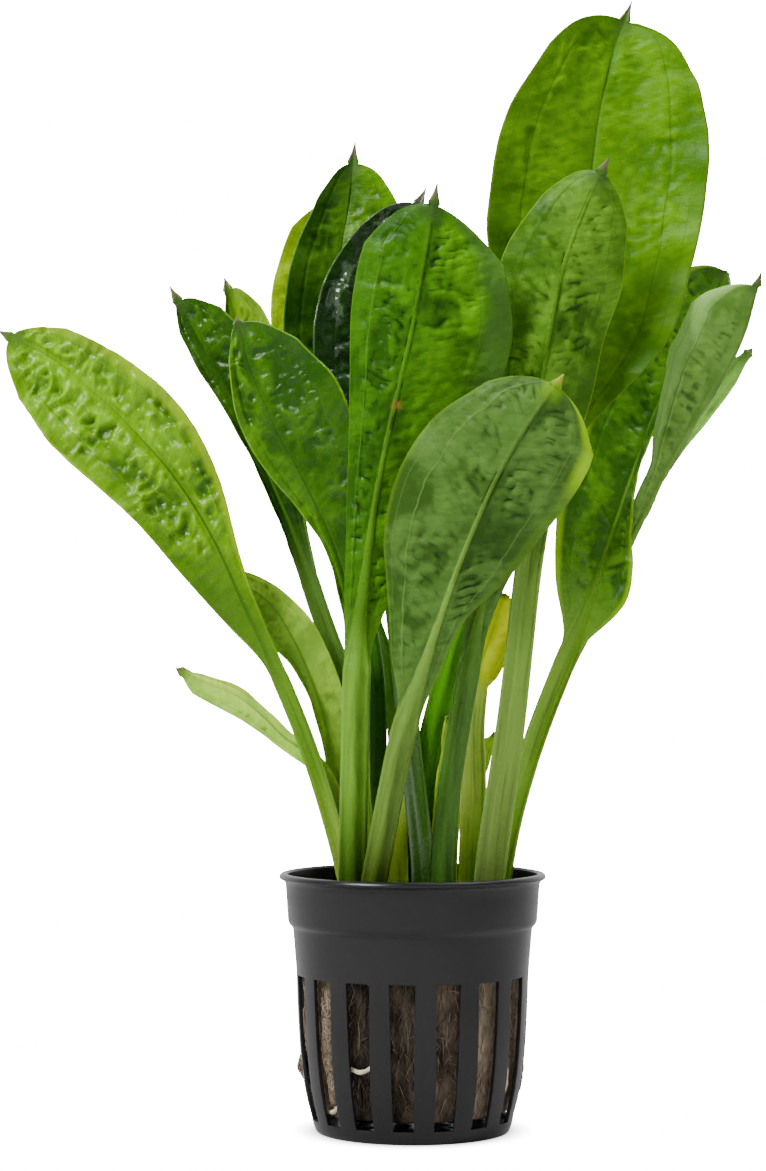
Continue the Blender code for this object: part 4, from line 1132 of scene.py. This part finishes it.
@dataclass
class WoolPlug:
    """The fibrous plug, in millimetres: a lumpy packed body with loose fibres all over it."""

    pot: NetPot
    bottom: float = 4.0
    top: float = 38.2
    gap: float = 1.5
    sides: int = 220
    rings: int = 60
    lump: float = 0.5
    # Where the wool is pressed against the wall: degrees round from the front, and how far
    pressed: tuple[Ends, ...] = ((-95.0, 1.3), (-50.0, 0.9), (88.0, 1.4))
    strands: int = 3300
    top_strands: int = 600
    strand_radius: float = 0.055
    strand_points: int = 6
    finish: WoolFinish = field(default_factory=WoolFinish)
    # How light the wool is, by degrees round from the front
    tone_angles: tuple[float, ...] = (-180, -95, -72, -50, -27, -5, 17, 40, 62, 85, 180)
    tone_values: tuple[float, ...] = (0.45, 1.15, 0.95, 0.8, 0.22, 0.38, 0.52, 0.85, 1.0, 0.95, 0.45)

    def radius(self, angle: Array, height: Array) -> Array:
        """The body's radius in a direction and at a height."""
        heights = np.linspace(0, 41, 60)
        inside = np.interp(height, heights, [self.pot.inside_radius(z) for z in heights])
        lumps = mottle(angle / 11.25, height / 9.0, 31) + 0.45 * mottle(angle / 4.0, height / 5.0, 32)
        fuzz = 0.16 * mottle(angle / 1.1, height / 2.6, 33)
        for place, reach in self.pressed:
            fuzz = fuzz + reach * np.exp(-((angle - place) / 9.0) ** 2)
        return np.minimum(inside - self.gap - self.lump * (1 + lumps) + fuzz, inside - 0.12)

    def tone(self, angle: Array) -> Array:
        """How light the wool is in a direction."""
        return np.interp(angle, self.tone_angles, self.tone_values)

    def build(self) -> bpy.types.Object:
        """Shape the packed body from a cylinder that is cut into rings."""
        deselect()
        bpy.ops.mesh.primitive_cylinder_add(vertices=self.sides, radius=1, depth=1, end_fill_type="TRIFAN")
        body = bpy.context.object
        body.name = body.data.name = "wool_body"
        self.cut_rings(body)
        points = vertices_of(body.data)
        middle = np.hypot(points[:, 0], points[:, 1]) < 0.01
        angle = np.degrees(np.arctan2(points[:, 0], -points[:, 1]))
        height = self.bottom + (points[:, 2] + 0.5) * (self.top - self.bottom)
        radius = np.where(middle, 0.0, self.radius(angle, height))
        height = np.where(middle & (points[:, 2] < 0), self.pot.floor + 0.4, height)
        turn = np.radians(angle)
        shaped = np.column_stack([np.sin(turn) * radius, -np.cos(turn) * radius, height])
        place_vertices(body.data, shaped * MM)
        tone = self.tone(angle) - 0.16 + 0.2 * mottle(angle / 5, height / 3.5, 35)
        add_attribute(body.data, "wool_tone", tone)
        body.data.materials.append(self.finish.dress("wool_packed"))
        deselect()
        body.select_set(True)
        bpy.ops.object.shade_smooth()
        return body

    def cut_rings(self, body: bpy.types.Object) -> None:
        """Cut the cylinder's wall into rings, with the upright edges chosen by their direction."""
        mesh = body.data
        bpy.ops.object.mode_set(mode="EDIT")
        bpy.ops.mesh.select_mode(type="EDGE")
        bpy.ops.mesh.select_all(action="DESELECT")
        bpy.ops.object.mode_set(mode="OBJECT")
        for edge in mesh.edges:
            low, high = (mesh.vertices[k].co.z for k in edge.vertices)
            edge.select = abs(low - high) > 0.5
        bpy.ops.object.mode_set(mode="EDIT")
        bpy.ops.mesh.subdivide(number_cuts=self.rings)
        bpy.ops.object.mode_set(mode="OBJECT")

    def wall_paths(self, dice: np.random.Generator) -> tuple[Array, Array]:
        """Loose fibres on the wall: most run upright, some curl across.

        Args:
            dice: the seeded source of chance.

        Returns:
            The fibres' points, and one tone for each fibre.
        """
        n, m = self.strands, self.strand_points
        angle = dice.uniform(-180, 180, n)
        height = dice.uniform(self.bottom - 0.2, 32, n)
        upright = dice.random(n) < 0.72
        lean = np.where(upright, dice.normal(0, 0.25, n), dice.uniform(-1.5, 1.5, n))
        length = np.where(upright, dice.uniform(3, 9, n), dice.uniform(1.5, 5, n))
        curl = np.where(upright, dice.normal(0, 2.0, n), dice.normal(0, 7.0, n))
        step = np.linspace(0, 1, m)
        bend = lean[:, None] + np.radians(curl[:, None] * 10) * step[None]
        across = np.cumsum(np.sin(bend), axis=1) * (length / m)[:, None]
        up = np.cumsum(np.cos(bend), axis=1) * (length / m)[:, None]
        z = np.clip(height[:, None] + up, self.bottom - 0.8, 33)
        a = angle[:, None] + np.degrees(across / 20)
        stand = np.abs(dice.normal(0.12, 0.16, n))[:, None] * (0.4 + np.abs(np.sin(np.pi * step))[None])
        r = self.radius(a, z) + stand
        return self.to_points(a, z, r), self.tone(angle) + dice.normal(0.0, 0.2, n)

    def top_paths(self, dice: np.random.Generator) -> tuple[Array, Array]:
        """Loose fibres that lie on the plug's top among the stalks."""
        n, m = self.top_strands, self.strand_points
        radius = 20 * np.sqrt(dice.random(n))
        angle = dice.uniform(-180, 180, n)
        turn = dice.uniform(0, 2 * np.pi, n)[:, None] + dice.normal(0, 0.9, n)[:, None] * np.linspace(0, 1, m)[None]
        step = dice.uniform(0.5, 1.3, n)[:, None]
        x = radius[:, None] * np.sin(np.radians(angle))[:, None] + np.cumsum(np.cos(turn) * step, axis=1)
        y = -radius[:, None] * np.cos(np.radians(angle))[:, None] + np.cumsum(np.sin(turn) * step, axis=1)
        far = np.maximum(np.hypot(x, y) / 21.0, 1)
        z = self.top + np.abs(dice.normal(0.15, 0.3, n))[:, None] + 0.25 * np.sin(np.linspace(0, np.pi, m))[None]
        return np.stack([x / far, y / far, z * np.ones_like(x)], axis=2), np.full(n, 0.4) + dice.normal(0, 0.2, n)

    def tuft_paths(self, dice: np.random.Generator) -> tuple[Array, Array]:
        """Curly tufts that push out through the left slots."""
        points, tones = [], []
        for angle, low, high, count, proud in ((-95, 8.5, 15, 650, 1.7), (-93, 10, 14, 300, 1.9), (85, 6, 28, 300, 0.5),
                                               (-50, 8, 27, 300, 0.4), (-72.5, 7, 24, 140, 0.5)):
            a = dice.normal(angle, 3.4, count)[:, None] + np.cumsum(dice.normal(0, 1.3, (count, self.strand_points)), 1)
            a = np.clip(a, angle - 4.6, angle + 4.6)
            z = dice.uniform(low, high, count)[:, None] + np.cumsum(dice.normal(0, 0.45, (count, self.strand_points)), 1)
            z = np.clip(z, low - 1.5, high + 1.5)
            swell = np.exp(-((z - (low + high) / 2) / (0.45 * (high - low))) ** 2)
            r = self.radius(a, z) + self.gap * 0.55 + proud * swell * dice.random(count)[:, None]
            points.append(self.to_points(a, z, r))
            tones.append(dice.normal(1.5 if proud > 1 else 1.0, 0.25, count))
        return np.concatenate(points), np.concatenate(tones)

    def to_points(self, angle: Array, height: Array, radius: Array) -> Array:
        """Places from headings, heights and radii."""
        turn = np.radians(angle)
        return np.stack([np.sin(turn) * radius, -np.cos(turn) * radius, height], axis=2)

    def fibres(self) -> bpy.types.Object:
        """All loose fibres as one mesh of thin three-sided strands, closed at both ends."""
        dice = np.random.default_rng(7)
        sets = [self.wall_paths(dice), self.top_paths(dice), self.tuft_paths(dice)]
        paths = np.concatenate([points for points, _ in sets])
        tones = np.concatenate([tone for _, tone in sets])
        n, m = paths.shape[:2]
        slope = np.gradient(paths, axis=1)
        slope /= np.maximum(np.linalg.norm(slope, axis=2, keepdims=True), 1e-9)
        side = np.cross(slope, np.array([0.31, 0.22, 0.92]))
        side /= np.maximum(np.linalg.norm(side, axis=2, keepdims=True), 1e-9)
        other = np.cross(slope, side)
        taper = np.array([0.35, *[1.0] * (m - 2), 0.35])[None, :, None]
        thick = dice.uniform(0.6, 1.5, n)[:, None, None] * self.strand_radius * taper
        corners = [paths + thick * (side * math.cos(t) + other * math.sin(t)) for t in (0.0, 2.094, 4.189)]
        verts = np.stack(corners, axis=2).reshape(-1, 3)
        unit_faces = []
        for k in range(m - 1):
            for c in range(3):
                d = (c + 1) % 3
                unit_faces.append((3 * k + c, 3 * k + d, 3 * k + 3 + d, 3 * k + 3 + c))
        quads = (np.array(unit_faces)[None] + (np.arange(n) * 3 * m)[:, None, None]).reshape(-1, 4)
        caps = np.array([(2, 1, 0), (3 * m - 3, 3 * m - 2, 3 * m - 1)])
        ends = (caps[None] + (np.arange(n) * 3 * m)[:, None, None]).reshape(-1, 3)
        mesh = bpy.data.meshes.new("wool_fibres")
        mesh.from_pydata(verts * MM, [], [*quads.tolist(), *ends.tolist()])
        add_attribute(mesh, "wool_tone", np.repeat(tones, 3 * m))
        obj = bpy.data.objects.new("wool_fibres", mesh)
        bpy.context.scene.collection.objects.link(obj)
        mesh.materials.append(self.finish.dress("wool_loose"))
        deselect()
        obj.select_set(True)
        bpy.context.view_layer.objects.active = obj
        bpy.ops.object.mode_set(mode="EDIT")
        bpy.ops.mesh.select_all(action="SELECT")
        bpy.ops.mesh.normals_make_consistent(inside=False)
        bpy.ops.object.mode_set(mode="OBJECT")
        bpy.ops.object.shade_smooth()
        return obj


@dataclass
class Root:
    """A root against the inside of the wall: headings and heights of its points, and its thickness."""

    node: str
    stations: tuple[Ends, ...]
    pot: NetPot
    radius: float = 0.45
    sides: int = 14
    steps: int = 48
    finish: RootFinish = field(default_factory=RootFinish)

    def build(self) -> bpy.types.Object:
        """Draw a smooth tube through the stations, thinner at both ends."""
        places = []
        for angle, height in self.stations:
            reach = self.pot.inside_radius(height) - 0.3 - self.radius
            places.append(heading(angle) * reach + Vector((0, 0, height)))
        line = curve_through(np.array([tuple(p) for p in places]), self.steps)
        deselect()
        bpy.ops.curve.primitive_nurbs_path_add()
        curve = bpy.context.object
        data = curve.data
        data.splines.clear()
        spline = data.splines.new("POLY")
        spline.points.add(len(line) - 1)
        for k, (point, place) in enumerate(zip(spline.points, line)):
            share = k / (len(line) - 1)
            point.co = (*(place * MM), 1)
            point.radius = 0.35 + 0.65 * min(1.0, 5 * share, 5 * (1 - share)) + 0.08 * math.sin(17 * share)
        data.bevel_depth = self.radius * MM
        data.bevel_resolution = 3
        data.use_fill_caps = True
        bpy.ops.object.convert(target="MESH")
        root = bpy.context.object
        root.name = root.data.name = f"{self.node}_tube"
        settle(root)
        root.data.materials.clear()
        root.data.materials.append(self.finish.dress(f"{self.node}_skin"))
        bpy.ops.object.shade_smooth_by_angle(angle=math.radians(60))
        return root


# The studio


@dataclass
class Studio:
    """The floor, the soft lights and the camera, in metres."""

    camera_place: Point = (0.0, -0.585, 0.094)
    yaw: float = 0.564
    pitch: float = 1.164
    focal_pixels: float = 2997.0
    photo_height: float = 1171.0
    sensor: float = 36.0
    floor_size: float = 6.0
    surround: Ends = (0.14, 1.4)
    backdrop: Ends = (0.1, 0.75)
    finish: FloorFinish = field(default_factory=FloorFinish)

    def build(self) -> None:
        """Lay the floor, set the lights and the camera."""
        self.lay_floor()
        self.light_world()
        self.add_light("key", (-0.6, -0.45, 0.85), (0.35, 0.35), 15.0)
        self.add_light("top", (0.3, 0.1, 1.0), (0.6, 0.6), 7.0)
        self.add_light("fill", (0.45, -0.9, 0.35), (0.8, 0.8), 2.4)
        self.set_camera()

    def lay_floor(self) -> None:
        """A wide plain floor at the pot's foot."""
        deselect()
        bpy.ops.mesh.primitive_plane_add(size=self.floor_size)
        floor = bpy.context.object
        floor.name = floor.data.name = "studio_floor"
        floor.data.materials.append(self.finish.dress("floor_pale"))

    def light_world(self) -> None:
        """A white surround that is brighter behind the plant than in front of it."""
        world = bpy.data.worlds.new("white_surround")
        world.use_nodes = True
        nodes, links = world.node_tree.nodes, world.node_tree.links
        glow = nodes["Background"]
        glow.inputs["Color"].default_value = (1, 1, 1, 1)
        split = nodes.new("ShaderNodeSeparateXYZ")
        rise = nodes.new("ShaderNodeMapRange")
        rise.interpolation_type = "SMOOTHSTEP"
        for socket, value in zip(rise.inputs[1:5], (*self.backdrop, *self.surround)):
            socket.default_value = value
        links.new(nodes.new("ShaderNodeTexCoord").outputs["Generated"], split.inputs[0])
        links.new(split.outputs["Y"], rise.inputs[0])
        links.new(rise.outputs[0], glow.inputs["Strength"])
        seen = nodes.new("ShaderNodeBackground")
        seen.inputs["Strength"].default_value = 40.0
        path = nodes.new("ShaderNodeLightPath")
        mix = nodes.new("ShaderNodeMixShader")
        links.new(path.outputs["Is Camera Ray"], mix.inputs[0])
        links.new(glow.outputs[0], mix.inputs[1])
        links.new(seen.outputs[0], mix.inputs[2])
        links.new(mix.outputs[0], nodes["World Output"].inputs["Surface"])
        bpy.context.scene.world = world

    def add_light(self, name: str, place: Point, size: Ends, power: float) -> None:
        """A soft rectangular light that faces the middle of the plant."""
        data = bpy.data.lights.new(name, "AREA")
        data.shape = "RECTANGLE"
        data.size, data.size_y = size
        data.energy = power
        light = bpy.data.objects.new(name, data)
        bpy.context.scene.collection.objects.link(light)
        light.location = place
        aim = Vector((0, 0, 0.11)) - Vector(place)
        light.rotation_euler = aim.to_track_quat("-Z", "Y").to_euler()

    def set_camera(self) -> None:
        """The camera at the photographed angle: level with the stalks, a touch upwards."""
        data = bpy.data.cameras.new("camera")
        data.sensor_width = self.sensor
        data.lens = self.sensor * self.focal_pixels / self.photo_height
        data.clip_start, data.clip_end = 0.01, 50
        camera = bpy.data.objects.new("camera", data)
        bpy.context.scene.collection.objects.link(camera)
        yaw, pitch = math.radians(self.yaw), math.radians(self.pitch)
        aim = Vector((-math.sin(yaw) * math.cos(pitch), math.cos(yaw) * math.cos(pitch), math.sin(pitch)))
        camera.location = self.camera_place
        camera.rotation_euler = aim.to_track_quat("-Z", "Y").to_euler()
        bpy.context.scene.camera = camera


SLOTS = {"leaf_front": "leaf_green", "leaf_centre": "leaf_green", "leaf_right_centre": "leaf_green",
         "leaf_tall": "leaf_green", "leaf_far_left": "leaf_lime", "leaf_low_left": "leaf_lime",
         "leaf_bent_left": "leaf_lime", "leaf_left_back": "leaf_dark", "leaf_left_folded": "leaf_lime",
         "leaf_left_front": "leaf_dark", "leaf_upright_left": "leaf_dark", "leaf_pale_back": "leaf_pale",
         "leaf_dark_centre": "leaf_dark", "leaf_right_folded": "leaf_green", "leaf_right_small": "leaf_dark",
         "leaf_right_back": "leaf_green", "leaf_young": "leaf_pale", "leaf_sprout": "leaf_lime",
         "leaf_behind_front": "leaf_green", "leaf_bud": "leaf_lime"}


def stand_in(obj: bpy.types.Object, slot: str, *nodes: str) -> None:
    """Let a piece ride on the part and stand for its nodes.

    Args:
        obj: the finished piece.
        slot: the record's material slot; not used.
        nodes: the frame's nodes that the piece replaces.
    """
    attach(obj, "root")
    if nodes:
        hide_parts(*nodes)
    log.info("%s: %d faces", obj.name, len(obj.data.polygons))


def main() -> None:
    """Build the pot, the plug, the roots and every leaf, then the studio."""
    logging.basicConfig(level=logging.INFO, format="%(name)s: %(message)s")
    pot = NetPot()
    stand_in(pot.build(), "pot_plastic", "pot")
    plug = WoolPlug(pot)
    stand_in(plug.build(), "wool", "wool_plug")
    stand_in(plug.fibres(), "wool")
    for root in (Root("root_front", ((-37, 14.4), (-29, 13.6), (-20, 15)), pot),
                 Root("root_left", ((-60, 4.9), (-53, 5.2), (-47, 6.6)), pot),
                 Root("root_right", ((58, 16), (63, 12.5), (65, 8.6)), pot)):
        stand_in(root.build(), "root", root.node)
    for leaf in leaves():
        stand_in(leaf.build(), SLOTS[leaf.name], leaf.name)
    Studio().build()


if __name__ == "__main__":
    main()
